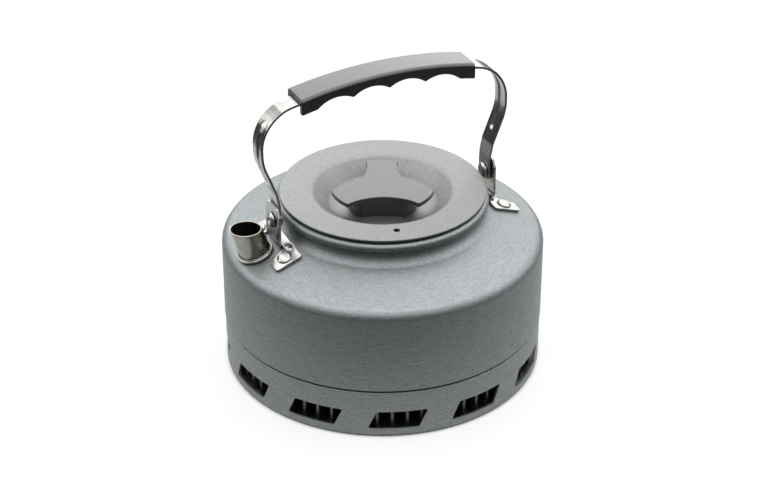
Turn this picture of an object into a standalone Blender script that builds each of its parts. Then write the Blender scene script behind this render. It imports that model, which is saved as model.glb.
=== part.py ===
"""Camping kettle with a finned heat-exchanger base, a lift-off lid and a folding bail handle.

Metres, +Z up. The origin is on the kettle's axis, on the ground under the skirt.
The bail turns about a line along X, and the spout points towards -X.
"""
import math

import bmesh
import bpy
from mathutils import Matrix, Vector

# Fits
FIT = 0.0003                    # gap between pieces that touch
SEGMENTS = 48                   # facets round the kettle

# Water vessel, one deep-drawn shell
BODY_RADIUS = 0.0775
BODY_WALL = 0.0010
FLOOR_Z = 0.0175                # underside of the floor, above the ground
FLOOR_CORNER = 0.0035
SEAM_Z = 0.0250                 # top of the skirt
SHOULDER_Z = 0.0635             # where the side wall turns over
SHOULDER_CORNER = 0.0052
SHOULDER_SLOPE = math.radians(18)
NECK_FILLET = 0.0050
NECK_HEIGHT = 0.0057            # straight part of the neck, up to the bead's centre
BEAD_RADIUS = 0.0020

# Skirt round the flame
SKIRT_INSET = 0.0003            # skirt's outside, in from the vessel's side
SKIRT_WALL = 0.0008
SKIRT_TURN = 0.0016             # radius of the turned-in foot
SKIRT_LIP = 0.0036              # flat width that stands on the ground
WINDOW_COUNT = 12
WINDOW_PHASE = math.radians(9.4)
WINDOW_LENGTH = 0.0243
WINDOW_LEAN = 0.0043            # top edge's shift along the skirt
WINDOW_BOTTOM = 0.0046
WINDOW_HEIGHT = 0.0093
WINDOW_ROUND = 0.0007

# Folded fin strip under the floor
FOLD_COUNT = 64
FIN_GAP = 0.0029                # from the skirt's inside
FIN_DEPTH = 0.0110              # radial height of a fold
FIN_SHEET = 0.0005
FIN_BOTTOM = 0.0025

# Spout
SPOUT_BORE = 0.00665
SPOUT_WALL = 0.0008
SPOUT_LENGTH = 0.0152           # from the shoulder to the mouth, on the axis
SPOUT_FLANGE_EXTRA = 0.00025    # swaged edge inside, wider than the tube
SPOUT_FLANGE = 0.0008           # its thickness
COLLAR_WIDTH = 0.00085
COLLAR_HEIGHT = 0.0012
SPOUT_EDGE_MARGIN = 0.0001      # from the swaged edge to the shoulder's corner

# Brackets and their rivets
BRACKET_SHEET = 0.0010
EAR_TO_COLLAR = 0.0003
EAR_WIDTH = 0.0156
EAR_TOP_WIDTH = 0.0104
EAR_ABOVE_PIVOT = 0.0082
EAR_CHAMFER = 0.0042
PIVOT_RISE = 0.0116             # pivot above the bracket's base
BASE_INSIDE = 0.0064            # base reaches this far in from the ear
WING_REACH = 0.0072             # wings reach this far out from the ear
WING_SPAN = 0.0414              # across both wings
WING_GAP = 0.0191               # opening between the wings, at the ear
WING_FLARE = 0.0038             # more opening at the outer edge
WING_CORNER = 0.0012
RELIEF_RADIUS = 0.0008
WING_RIVET_INSET = 0.0057       # a rivet, in from its wing's end
WING_RIVET_SHIFT = 0.0004       # rivets, out from the ear's outside
RIVET_SHANK = 0.0017
RIVET_HEAD = 0.0036
RIVET_DOME = 0.0012
RIVET_TAIL = 0.0030
RIVET_TAIL_HEIGHT = 0.0009

# Pivots
PIVOT_SHANK = 0.0022
PIVOT_HEAD = 0.0040
PIVOT_DOME = 0.0016
LID_TO_PIVOT = 0.0034           # from the lid's edge to the pivot's inner head

# Bail strap, bent from flat strip
STRAP_THICK = 0.0012
STRAP_WIDTH = 0.0100
FOOT_EARLY = 0.0007             # strap's first bend, inside the circle that the ear reaches
KINK_OUT = 0.0012
KINK_UP = 0.0152
BULGE_OUT = 0.0078
BULGE_LOW = 0.0324
FOOT_BEND = 0.020
KINK_BEND = 0.008
LOW_BEND = 0.022
GRIP_TO_BEND = 0.0036           # straight strip between the grip and the wide bend beside it
BEND_TO_BEND = 0.0030           # least straight strip from there to the bulge's low bend
RIB_WIDTH = 0.0034
RIB_HEIGHT = 0.0005
RIB_LOW = 0.0205                # lower end of the pressed rib, above the pivot
RIB_BELOW_CROWN = 0.0156        # upper end of the pressed rib, below the grip's crown
RIB_RUNOUT = 0.0014             # slope at the rib's ends

# Grip
HANDLE_HEIGHT = 0.0671          # from the pivot to the grip's crown
GRIP_LENGTH = 0.0890
GRIP_WIDTH = 0.0165
GRIP_RISE = 0.0047
GRIP_TOP = 0.0024
GRIP_DEPTH = 0.0076
GRIP_EDGE = 0.0010
SCALLOP_COUNT = 4
SCALLOP_PITCH = 0.0184
SCALLOP_DEPTH = 0.0027
GRIP_SCREW_INSET = 0.0077       # from the grip's end, under the last cusp
GRIP_BOSS = 0.0030
SCREW_BORE_GAP = 0.0003
GRIP_SCREW_SHANK = 0.0012
GRIP_SCREW_HEAD = 0.0042
GRIP_SCREW_HEAD_HEIGHT = 0.0012
GRIP_SCREW_BITE = 0.0024        # thread above the strap's underside

# Lid
BEAD_REACH = 0.0013             # of the neck's bead, beyond the lid's edge
LID_SHEET = 0.0010
LID_EDGE_DROP = 0.0003          # rolled edge below the sheet's underside
LID_EDGE_WIDTH = 0.0026
LID_EDGE_ROUND = 0.0004
DISH_RADIUS = 0.0340
DISH_DEPTH = 0.0085
DISH_EDGE = 0.0025
DISH_FILLET = 0.0050
DISH_WALL_ANGLE = math.radians(55)
VENT_RADIUS = 0.0015
VENT_OFFSET = 0.0056            # from the dish's edge
VENT_ANGLE = math.radians(-106.6)
PLUG_CLEARANCE = 0.0008         # between the plug ring and the neck
PLUG_SHEET = 0.0008
PLUG_DEPTH = 0.0080
PLUG_FLANGE = 0.0036

# Knob
KNOB_RADIUS = 0.0246
KNOB_PROUD = 0.0020             # top face above the lid's rim
KNOB_PLATE = 0.0023
KNOB_EDGE = 0.0005
KNOB_SCALLOP = 0.0185
KNOB_SCALLOP_OFFSET = 0.0283
KNOB_TIP = 0.0016
KNOB_ANGLE = math.radians(64)   # direction of the first lobe
HUB_RADIUS = 0.0094
HUB_FLARE = 0.0004
KNOB_SCREW_SHANK = 0.0016
KNOB_SCREW_HEAD = 0.0035
KNOB_SCREW_HEAD_HEIGHT = 0.0019
KNOB_SCREW_BITE = 0.0060
WASHER_RADIUS = 0.0050
WASHER_THICK = 0.0008

# Radii that follow, from the skirt inwards
skirt_radius = BODY_RADIUS - SKIRT_INSET
skirt_inside = skirt_radius - SKIRT_WALL
step_radius = skirt_inside - FIT
fin_outer = skirt_inside - FIN_GAP
fin_inner = fin_outer - FIN_DEPTH

# Shoulder: a cone between the corner's arc and the neck's fillet
sin_slope = math.sin(SHOULDER_SLOPE)
cos_slope = math.cos(SHOULDER_SLOPE)
tan_slope = math.tan(SHOULDER_SLOPE)
corner_centre = BODY_RADIUS - SHOULDER_CORNER
edge_radius = corner_centre + SHOULDER_CORNER * sin_slope
edge_z = SHOULDER_Z + SHOULDER_CORNER * cos_slope


def shoulder_z(radius):
    """Height of the shoulder's outside on its straight cone."""
    return edge_z + (edge_radius - radius) * tan_slope


# Places round the neck, stacked from the shoulder's corner inwards
tube_radius = SPOUT_BORE + SPOUT_WALL
flange_radius = tube_radius + FIT + SPOUT_FLANGE_EXTRA
collar_bore = tube_radius + FIT
collar_radius = collar_bore + COLLAR_WIDTH
spout_x = edge_radius - flange_radius * cos_slope - SPOUT_EDGE_MARGIN
ear_outside = spout_x - collar_radius - EAR_TO_COLLAR
ear_inside = ear_outside - BRACKET_SHEET
strap_outside = ear_inside - FIT
strap_inside = strap_outside - STRAP_THICK
head_inside = strap_inside - FIT - PIVOT_DOME
lid_radius = head_inside - LID_TO_PIVOT
bead_centre = lid_radius + BEAD_REACH - BEAD_RADIUS
neck_inside = bead_centre - BEAD_RADIUS
neck_outside = neck_inside + BODY_WALL

# Heights that follow
fillet_centre = neck_outside + NECK_FILLET
fillet_foot = fillet_centre - NECK_FILLET * sin_slope
fillet_z = shoulder_z(fillet_foot) + NECK_FILLET * cos_slope
bead_z = fillet_z + NECK_HEIGHT
lid_seat_z = bead_z + BEAD_RADIUS + FIT
lid_under_z = lid_seat_z + LID_EDGE_DROP
lid_top_z = lid_under_z + LID_SHEET
dish_z = lid_top_z - DISH_DEPTH
base_low = FIT / cos_slope                          # bracket's underside above the cone
base_high = (FIT + BRACKET_SHEET) / cos_slope
pivot_z = shoulder_z(ear_outside) + base_high + PIVOT_RISE
foot_straight = math.hypot(EAR_TOP_WIDTH / 2, EAR_ABOVE_PIVOT) - FOOT_EARLY
grip_crown_z = pivot_z + HANDLE_HEIGHT
rib_low_z = pivot_z + RIB_LOW
rib_high_z = grip_crown_z - RIB_BELOW_CROWN
grip_screw_x = GRIP_LENGTH / 2 - GRIP_SCREW_INSET
arch_radius = ((GRIP_LENGTH / 2) ** 2 + GRIP_RISE ** 2) / (2 * GRIP_RISE)
arch_centre_z = grip_crown_z - arch_radius

# The knob's bore and screw
washer_top_z = dish_z - LID_SHEET - FIT
screw_head_z = washer_top_z - WASHER_THICK - FIT
hub_z = dish_z + FIT
knob_top_z = lid_top_z + KNOB_PROUD

UPRIGHT = Matrix(((1, 0, 0, 0), (0, 0, -1, 0), (0, 1, 0, 0), (0, 0, 0, 1)))    # plate XY to world XZ
SIDEWAYS = Matrix(((0, 0, 1, 0), (1, 0, 0, 0), (0, 1, 0, 0), (0, 0, 0, 1)))    # plate XY to world YZ


def fresh_scene():
    """Removes what the scene holds and makes the two collections."""
    for item in list(bpy.data.objects):
        bpy.data.objects.remove(item, do_unlink=True)
    made = []
    for name in ("camping_kettle", "cutters"):
        group = bpy.data.collections.new(name)
        bpy.context.scene.collection.children.link(group)
        made.append(group)
    return made


parts, cutters = fresh_scene()


def finish(name, colour, metallic, roughness):
    """A plain material with the part's colour."""
    material = bpy.data.materials.new(name)
    material.use_nodes = True
    shader = material.node_tree.nodes["Principled BSDF"]
    shader.inputs["Base Color"].default_value = (*colour, 1)
    shader.inputs["Metallic"].default_value = metallic
    shader.inputs["Roughness"].default_value = roughness
    material.diffuse_color = (*colour, 1)
    return material


def part(name, mesh, colour, metallic, roughness, place=Matrix()):
    """Puts a mesh in the kettle's collection as one named piece."""
    thing = bpy.data.objects.new(name, mesh)
    thing.matrix_world = place
    parts.objects.link(thing)
    mesh.materials.clear()
    mesh.materials.append(finish(name, colour, metallic, roughness))
    return thing


def cutter(name, mesh, place=Matrix()):
    """Puts a mesh in the cutters' collection, hidden from renders."""
    tool = bpy.data.objects.new(name, mesh)
    tool.matrix_world = place
    tool.hide_render = True
    tool.display_type = "WIRE"
    cutters.objects.link(tool)
    return tool


def boolean(target, tool, operation="DIFFERENCE"):
    """Adds an exact boolean to a piece."""
    step = target.modifiers.new(tool.name, "BOOLEAN")
    step.operation = operation
    step.solver = "EXACT"
    step.object = tool


def baked(thing):
    """Mesh of a piece with its modifiers worked out, in the piece's own axes."""
    bpy.context.view_layer.update()
    seen = thing.evaluated_get(bpy.context.evaluated_depsgraph_get())
    return bpy.data.meshes.new_from_object(seen)


def arc(centre, height, radius, start, end, steps):
    """Points of an arc in a profile, angles in degrees."""
    angles = [math.radians(start + (end - start) * i / steps) for i in range(steps + 1)]
    return [(centre + radius * math.cos(a), height + radius * math.sin(a)) for a in angles]


def turned(name, profile, segments=SEGMENTS, ring=False):
    """Mesh spun round Z from (radius, height) points that run down the outer side."""
    mesh = bpy.data.meshes.new(name)
    count = len(profile)
    edges = [(i, i + 1) for i in range(count - 1)]
    if ring:
        edges.append((count - 1, 0))
    mesh.from_pydata([(r, 0, z) for r, z in profile], edges, [])
    spun = bpy.data.objects.new(name, mesh)
    cutters.objects.link(spun)
    screw = spun.modifiers.new("turn", "SCREW")
    screw.axis = "Z"
    screw.angle = math.tau
    screw.steps = segments
    screw.render_steps = segments
    screw.use_merge_vertices = True
    screw.merge_threshold = 0.00001
    screw.use_smooth_shade = True
    result = baked(spun)
    bpy.data.objects.remove(spun)
    result.set_sharp_from_angle(angle=math.radians(35))
    return result


def plate(name, outline, thickness):
    """Mesh of a flat outline in XY, with its thickness centred on Z."""
    curve = bpy.data.curves.new(name, "CURVE")
    curve.dimensions = "2D"
    curve.fill_mode = "BOTH"
    curve.extrude = thickness / 2
    spline = curve.splines.new("POLY")
    spline.points.add(len(outline) - 1)
    for point, (x, y) in zip(spline.points, outline):
        point.co = (x, y, 0, 1)
    spline.use_cyclic_u = True
    flat = bpy.data.objects.new(name, curve)
    cutters.objects.link(flat)
    mesh = baked(flat)
    bpy.data.objects.remove(flat)
    form = bmesh.new()
    form.from_mesh(mesh)
    bmesh.ops.remove_doubles(form, verts=form.verts, dist=0.000001)
    bmesh.ops.recalc_face_normals(form, faces=form.faces)
    form.to_mesh(mesh)
    form.free()
    mesh.shade_smooth()
    mesh.set_sharp_from_angle(angle=math.radians(35))
    return mesh


def rod(name, radius, low, high, segments=24, top_radius=None):
    """Mesh of a cylinder, or a cone, along Z between two heights."""
    form = bmesh.new()
    bmesh.ops.create_cone(
        form, cap_ends=True, segments=segments, radius1=radius,
        radius2=radius if top_radius is None else top_radius, depth=high - low,
        matrix=Matrix.Translation((0, 0, (low + high) / 2)))
    mesh = bpy.data.meshes.new(name)
    form.to_mesh(mesh)
    form.free()
    mesh.shade_smooth()
    mesh.set_sharp_from_angle(angle=math.radians(35))
    return mesh


def copies(name, mesh, places):
    """One mesh with a copy of another at each place."""
    form = bmesh.new()
    for place in places:
        start = len(form.verts)
        form.from_mesh(mesh)
        form.verts.ensure_lookup_table()
        bmesh.ops.transform(form, matrix=place, verts=form.verts[start:])
    result = bpy.data.meshes.new(name)
    form.to_mesh(result)
    form.free()
    return result


def rounded(corners, steps=3, closed=False, facet=math.pi):
    """Outline through (x, y, radius) corners, each rounded by an arc, no facet turning more than facet."""
    points = []
    count = len(corners)
    for i, (x, y, radius) in enumerate(corners):
        at_end = i in (0, count - 1) and not closed
        if radius == 0 or at_end:
            points.append((x, y))
            continue
        here = Vector((x, y))
        before = (Vector(corners[i - 1][:2]) - here).normalized()
        after = (Vector(corners[(i + 1) % count][:2]) - here).normalized()
        half = before.angle(after) / 2
        reach = radius / math.tan(half)
        centre = here + (before + after).normalized() * radius / math.sin(half)
        first = here + before * reach - centre
        last = here + after * reach - centre
        turn = first.angle_signed(last)
        pieces = max(steps, math.ceil(abs(turn) / facet))
        for k in range(pieces + 1):
            swung = first.copy()
            swung.rotate(Matrix.Rotation(-turn * k / pieces, 2))
            points.append(tuple(centre + swung))
    return points


def offset(path, distance):
    """Path moved sideways to its right, with mitred corners."""
    moved = []
    for i, here in enumerate(path):
        here = Vector(here)
        before = here - Vector(path[i - 1]) if i else None
        after = Vector(path[i + 1]) - here if i < len(path) - 1 else None
        before = (before or after).normalized()
        after = (after or before).normalized()
        normal = Vector((before.y + after.y, -before.x - after.x)).normalized()
        side = Vector((before.y, -before.x))
        moved.append(tuple(here + normal * distance / normal.dot(side)))
    return moved


def round_z(angle, x=0, y=0, z=0):
    """Place at a point, then turned about the kettle's axis."""
    return Matrix.Rotation(angle, 4, "Z") @ Matrix.Translation((x, y, z))


def on_shoulder(x, y):
    """Place on the shoulder with local Z along the surface's outward normal."""
    radius = math.hypot(x, y)
    spot = Matrix.Translation((x, y, shoulder_z(radius)))
    return spot @ Matrix.Rotation(math.atan2(y, x), 4, "Z") @ Matrix.Rotation(SHOULDER_SLOPE, 4, "Y")


# Spout side is at -X
TO_SPOUT = Matrix.Rotation(math.pi, 4, "Z")
spout_place = TO_SPOUT @ on_shoulder(spout_x, 0)
rivet_x = ear_outside + WING_RIVET_SHIFT
rivet_y = WING_SPAN / 2 - WING_RIVET_INSET
rivet_places = [on_shoulder(rivet_x, side * rivet_y) for side in (1, -1)]
rivet_places += [TO_SPOUT @ place for place in rivet_places]

GREY = (0.27, 0.29, 0.29)
STEEL = (0.62, 0.62, 0.60)
NICKEL = (0.40, 0.38, 0.35)
BLACK = (0.02, 0.02, 0.022)


def body_shell():
    """Deep-drawn vessel: floor, stepped wall for the skirt, shoulder, neck and rolled bead."""
    slope = math.degrees(SHOULDER_SLOPE)
    inside_floor = FLOOR_Z + BODY_WALL
    step_z = SEAM_Z + FIT
    floor_turn = step_radius - FLOOR_CORNER
    bead_foot = -90 - math.degrees(math.asin((bead_centre - neck_outside) / BEAD_RADIUS))
    profile = [(0, inside_floor)]
    profile += arc(floor_turn, FLOOR_Z + FLOOR_CORNER, FLOOR_CORNER - BODY_WALL, -90, 0, 2)
    profile += [(step_radius - BODY_WALL, step_z + BODY_WALL / 2)]
    profile += [(BODY_RADIUS - BODY_WALL, step_z + BODY_WALL * 2)]
    profile += arc(corner_centre, SHOULDER_Z, SHOULDER_CORNER - BODY_WALL, 0, 90 - slope, 2)
    profile += arc(fillet_centre, fillet_z, NECK_FILLET + BODY_WALL, 270 - slope, 180, 2)
    profile += arc(bead_centre, bead_z, BEAD_RADIUS, 180, bead_foot, 7)
    profile += arc(fillet_centre, fillet_z, NECK_FILLET, 180, 270 - slope, 3)
    profile += arc(corner_centre, SHOULDER_Z, SHOULDER_CORNER, 90 - slope, 0, 3)
    profile += [(BODY_RADIUS, step_z), (step_radius, step_z)]
    profile += arc(floor_turn, FLOOR_Z + FLOOR_CORNER, FLOOR_CORNER, 0, -90, 2)
    profile += [(0, FLOOR_Z)]
    shell = part("body_shell", turned("body_shell", profile), GREY, 0.6, 0.45)
    reach = RIVET_TAIL_HEIGHT + BODY_WALL + SHOULDER_CORNER
    spout_hole = rod("spout_hole", collar_bore, -reach, reach, 24)
    boolean(shell, cutter("spout_hole", spout_hole, spout_place))
    rivet_hole = rod("rivet_hole", RIVET_SHANK + FIT, -reach / 2, reach / 2, 16)
    boolean(shell, cutter("rivet_holes", copies("rivet_holes", rivet_hole, rivet_places)))


def heat_skirt():
    """Ring that shields the flame, with leaning windows and a turned-in foot."""
    turn = skirt_radius - SKIRT_TURN
    lip = turn - SKIRT_LIP
    profile = [(skirt_radius, SEAM_Z)]
    profile += arc(turn, SKIRT_TURN, SKIRT_TURN, 0, -90, 3)
    profile += [(lip, 0), (lip, SKIRT_WALL)]
    profile += arc(turn, SKIRT_TURN, SKIRT_TURN - SKIRT_WALL, -90, 0, 2)
    profile += [(skirt_inside, SEAM_Z)]
    skirt = part("heat_skirt", turned("heat_skirt", profile, ring=True), GREY, 0.6, 0.45)
    half = WINDOW_LENGTH / 2
    lean = WINDOW_LEAN / 2
    low = WINDOW_BOTTOM
    high = WINDOW_BOTTOM + WINDOW_HEIGHT
    corners = [(-half - lean, low, WINDOW_ROUND), (half - lean, low, WINDOW_ROUND),
               (half + lean, high, WINDOW_ROUND), (-half + lean, high, WINDOW_ROUND)]
    window = plate("window", rounded(corners, 1, closed=True), SKIRT_WALL * 8)
    turns = [WINDOW_PHASE + math.tau * k / WINDOW_COUNT for k in range(WINDOW_COUNT)]
    places = [round_z(turn_k, skirt_radius) @ SIDEWAYS for turn_k in turns]
    boolean(skirt, cutter("windows", copies("windows", window, places)))


def fin_ring():
    """Strip folded in and out round the flame, brazed under the floor."""
    quarter = math.tau / FOLD_COUNT / 4
    middle = FIN_SHEET / 2
    bends = []
    for fold in range(FOLD_COUNT):
        centre = fold * 4 * quarter
        bends += [(fin_outer - middle, centre - quarter), (fin_outer - middle, centre + quarter)]
        bends += [(fin_inner + middle, centre + quarter), (fin_inner + middle, centre + 3 * quarter)]
    form = bmesh.new()
    rows = []
    for z in (FIN_BOTTOM, FLOOR_Z - FIT):
        rows.append([form.verts.new((r * math.cos(a), r * math.sin(a), z)) for r, a in bends])
    low, high = rows
    for i in range(len(bends)):
        form.faces.new((low[i - 1], low[i], high[i], high[i - 1]))
    strip = bpy.data.meshes.new("fin_ring")
    form.to_mesh(strip)
    form.free()
    ring = part("fin_ring", strip, (0.12, 0.12, 0.12), 0.7, 0.5)
    wall = ring.modifiers.new("sheet", "SOLIDIFY")
    wall.thickness = FIN_SHEET
    wall.offset = 0
    wall.use_even_offset = True


def spout():
    """Short pouring tube, swaged inside the shoulder, and the collar round its foot."""
    flange_top = -BODY_WALL - FIT
    flange_low = flange_top - SPOUT_FLANGE
    over = SPOUT_LENGTH + tube_radius * tan_slope + SPOUT_WALL
    profile = [(tube_radius, over), (tube_radius, flange_top), (flange_radius, flange_top),
               (flange_radius, flange_low), (SPOUT_BORE, flange_low), (SPOUT_BORE, over)]
    tube = part("spout_tube", turned("spout_tube", profile, 24, ring=True), NICKEL, 1.0, 0.3,
                spout_place)
    size = SPOUT_LENGTH
    mouth_z = (spout_place @ Vector((0, 0, SPOUT_LENGTH))).z
    slab = rod("mouth_cut", size * 2, mouth_z, mouth_z + size, 16)
    boolean(tube, cutter("mouth_cut", slab, Matrix.Translation((-spout_x, 0, 0))))
    top = FIT + COLLAR_HEIGHT
    round_off = COLLAR_HEIGHT / 3
    profile = [(collar_radius - round_off, top), (collar_radius, top - round_off),
               (collar_radius, FIT), (collar_bore, FIT), (collar_bore, top)]
    collar = turned("spout_collar", profile, 24, ring=True)
    part("spout_collar", collar, NICKEL, 1.0, 0.25, spout_place)


def bracket_mesh():
    """Stamped bracket at +X: a base formed to the shoulder and an ear folded up from it."""
    inner = neck_outside
    outer = ear_outside + WING_REACH + WING_SPAN
    profile = [(inner, shoulder_z(inner) + base_high), (outer, shoulder_z(outer) + base_high),
               (outer, shoulder_z(outer) + base_low), (inner, shoulder_z(inner) + base_low)]
    base = bpy.data.objects.new("bracket_base", turned("bracket_base", profile, ring=True))
    cutters.objects.link(base)
    left = ear_outside - BASE_INSIDE
    right = ear_outside + WING_REACH
    gap = WING_GAP / 2
    half = [(left, WING_SPAN / 2 - WING_CORNER, WING_CORNER), (right, WING_SPAN / 2, WING_CORNER),
            (right, gap + WING_FLARE, WING_CORNER), (ear_outside, gap, 0)]
    corners = [(x, -y, r) for x, y, r in half] + [(x, y, r) for x, y, r in reversed(half)]
    outline = plate("bracket_outline", rounded(corners, 3, closed=True), edge_z * 2)
    trim = cutter("bracket_outline", outline, Matrix.Translation((0, 0, edge_z)))
    boolean(base, trim, "INTERSECT")
    ear_half = EAR_WIDTH / 2
    ear_top = pivot_z + EAR_ABOVE_PIVOT
    ear_foot = shoulder_z(ear_inside) + (base_low + base_high) / 2 - BRACKET_SHEET * tan_slope
    chamfer_z = ear_top - EAR_CHAMFER
    corners = [(-ear_half, ear_foot, 0), (ear_half, ear_foot, 0), (ear_half, chamfer_z, WING_CORNER),
               (EAR_TOP_WIDTH / 2, ear_top, WING_CORNER), (-EAR_TOP_WIDTH / 2, ear_top, WING_CORNER),
               (-ear_half, chamfer_z, WING_CORNER)]
    ear = plate("bracket_ear", rounded(corners, 2, closed=True), BRACKET_SHEET)
    ear_place = Matrix.Translation(((ear_inside + ear_outside) / 2, 0, 0)) @ SIDEWAYS
    boolean(base, cutter("bracket_ear", ear, ear_place), "UNION")
    relief = rod("relief", RELIEF_RADIUS, -BRACKET_SHEET * 4, BRACKET_SHEET * 4, 12)
    spots = [on_shoulder(ear_outside, side * (ear_half + RELIEF_RADIUS)) for side in (1, -1)]
    boolean(base, cutter("reliefs", copies("reliefs", relief, spots)))
    hole = rod("wing_hole", RIVET_SHANK + FIT, -BRACKET_SHEET * 4, BRACKET_SHEET * 4, 16)
    boolean(base, cutter("wing_holes", copies("wing_holes", hole, rivet_places[:2])))
    pivot = rod("ear_hole", PIVOT_SHANK + FIT, -BRACKET_SHEET * 2, BRACKET_SHEET * 2, 20)
    eye = Matrix.Translation((ear_inside, 0, pivot_z)) @ SIDEWAYS
    boolean(base, cutter("ear_hole", pivot, eye))
    mesh = baked(base)
    bpy.data.objects.remove(base)
    return mesh


def brackets():
    """The two brackets, four wing rivets and two pivot rivets."""
    base = bracket_mesh()
    part("bracket_far_side", base, STEEL, 1.0, 0.25)
    part("bracket_spout_side", base, STEEL, 1.0, 0.25, TO_SPOUT)
    head = FIT * 2 + BRACKET_SHEET
    tail = -BODY_WALL - FIT
    dome = [(RIVET_HEAD * math.sin(a), head + RIVET_DOME * math.cos(a))
            for a in (0, math.radians(40), math.radians(90))]
    profile = dome + [(RIVET_SHANK, head), (RIVET_SHANK, tail), (RIVET_TAIL, tail),
                      (RIVET_TAIL, tail - RIVET_TAIL_HEIGHT), (0, tail - RIVET_TAIL_HEIGHT)]
    rivet = turned("wing_rivet", profile, 12)
    names = ("far_left", "far_right", "spout_left", "spout_right")
    for name, place in zip(names, rivet_places):
        part("wing_rivet_" + name, rivet, STEEL, 1.0, 0.2, place)
    inner = strap_inside - FIT
    outer = ear_outside + FIT
    bow = [(PIVOT_HEAD * math.sin(a), PIVOT_DOME * math.cos(a))
           for a in (0, math.radians(40), math.radians(90))]
    profile = [(r, outer + h) for r, h in bow] + [(PIVOT_SHANK, outer), (PIVOT_SHANK, inner)]
    profile += [(r, inner - h) for r, h in reversed(bow)]
    pin = turned("pivot_rivet", profile, 16)
    lay = Matrix.Translation((0, 0, pivot_z)) @ SIDEWAYS
    part("pivot_rivet_far_side", pin, STEEL, 1.0, 0.2, lay)
    part("pivot_rivet_spout_side", pin, STEEL, 1.0, 0.2, TO_SPOUT @ lay)


def arch(x, below=0.0):
    """Height of the grip's top at x, or of a line that runs this far below it."""
    return arch_centre_z + math.sqrt((arch_radius - below) ** 2 - x ** 2)


def on_arch():
    """Places of the two grip screws, on the crown with local Z along its normal."""
    swing = math.asin(grip_screw_x / arch_radius)
    centre = Matrix.Translation((0, 0, arch_centre_z))
    rise = Matrix.Translation((0, 0, arch_radius))
    return [centre @ Matrix.Rotation(turn, 4, "Y") @ rise for turn in (-swing, swing)]


def strap_side():
    """Outer face of half the strap, from the crown down to the foot, as (x, z) points."""
    under = GRIP_TOP + FIT
    pitch = grip_screw_x / 4.5      # a screw sits in the middle of a facet
    crown = [(pitch * k, arch(pitch * k, under), 0) for k in range(6)]
    end_x, end_z, _ = crown[-1]
    bulge_x = strap_outside + BULGE_OUT
    slope = math.atan(end_x / (end_z - arch_centre_z))
    top_z = end_z - (bulge_x - end_x) * math.tan(slope)
    low_turn = math.atan((BULGE_OUT - KINK_OUT) / (BULGE_LOW - KINK_UP))
    beside = (bulge_x - GRIP_LENGTH / 2 - GRIP_TO_BEND) / math.cos(slope)
    above = top_z - pivot_z - BULGE_LOW - LOW_BEND * math.tan(low_turn / 2) - BEND_TO_BEND
    top_bend = min(beside, above) / math.tan(math.pi / 4 - slope / 2)
    bends = [(bulge_x, top_z, top_bend),
             (bulge_x, pivot_z + BULGE_LOW, LOW_BEND),
             (strap_outside + KINK_OUT, pivot_z + KINK_UP, KINK_BEND),
             (strap_outside, pivot_z + foot_straight, FOOT_BEND),
             (strap_outside, pivot_z - STRAP_WIDTH, 0)]
    return rounded(crown + bends, 3, facet=math.radians(13))


def split(path, levels):
    """Path with a point added wherever it crosses one of the heights."""
    points = [path[0]]
    for (x0, z0), (x1, z1) in zip(path, path[1:]):
        shares = [(level - z0) / (z1 - z0) for level in levels if z0 > level > z1]
        points += [(x0 + (x1 - x0) * share, z0 + (z1 - z0) * share) for share in sorted(shares)]
        points.append((x1, z1))
    return points


def rib_share(height):
    """Share of the rib's height that is reached at a height."""
    run = min(height - rib_low_z, rib_high_z - height)
    return max(0, min(1, run / RIB_RUNOUT))


def bail_strap():
    """One flat strip bent over the grip's length and down to both pivots, with a pressed rib."""
    levels = (rib_low_z, rib_low_z + RIB_RUNOUT, rib_high_z - RIB_RUNOUT, rib_high_z)
    side = split(strap_side(), levels)
    path = [(-x, z) for x, z in reversed(side)] + side[1:]
    raised = offset(path, -RIB_HEIGHT)
    edge = STRAP_WIDTH / 2
    foot = RIB_WIDTH / 2
    crest = foot - RIB_HEIGHT
    lanes = [(-edge, 0), (-foot, 0), (-crest, 1), (crest, 1), (foot, 0), (edge, 0)]
    form = bmesh.new()
    bmesh.ops.create_grid(form, x_segments=len(path) - 1, y_segments=len(lanes) - 1, size=1)
    for spot in form.verts:
        station = round((spot.co.x + 1) / 2 * (len(path) - 1))
        y, lifted = lanes[round((spot.co.y + 1) / 2 * (len(lanes) - 1))]
        flat = Vector(path[station])
        x, z = flat.lerp(Vector(raised[station]), lifted * rib_share(flat.y))
        spot.co = (x, y, z)
    strip = bpy.data.meshes.new("bail_strap")
    form.to_mesh(strip)
    form.free()
    strip.shade_smooth()
    strip.set_sharp_from_angle(angle=math.radians(35))
    strap = part("bail_strap", strip, STEEL, 1.0, 0.25)
    sheet = strap.modifiers.new("sheet", "SOLIDIFY")
    sheet.thickness = STRAP_THICK
    sheet.use_even_offset = True
    wide = STRAP_WIDTH / 2 + FIT
    column = arc(0, pivot_z, wide, 180, 360, 12) + [(wide, grip_crown_z), (-wide, grip_crown_z)]
    ends = plate("strap_ends", column, BODY_RADIUS * 4)
    boolean(strap, cutter("strap_ends", ends, SIDEWAYS), "INTERSECT")
    eye = rod("strap_eyes", PIVOT_SHANK + FIT, -BODY_RADIUS, BODY_RADIUS, 20)
    boolean(strap, cutter("strap_eyes", eye, Matrix.Translation((0, 0, pivot_z)) @ SIDEWAYS))
    hole = rod("boss_hole", GRIP_BOSS + FIT, -GRIP_DEPTH, 0, 16)
    boolean(strap, cutter("boss_holes", copies("boss_holes", hole, on_arch())))
    return strap


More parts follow.
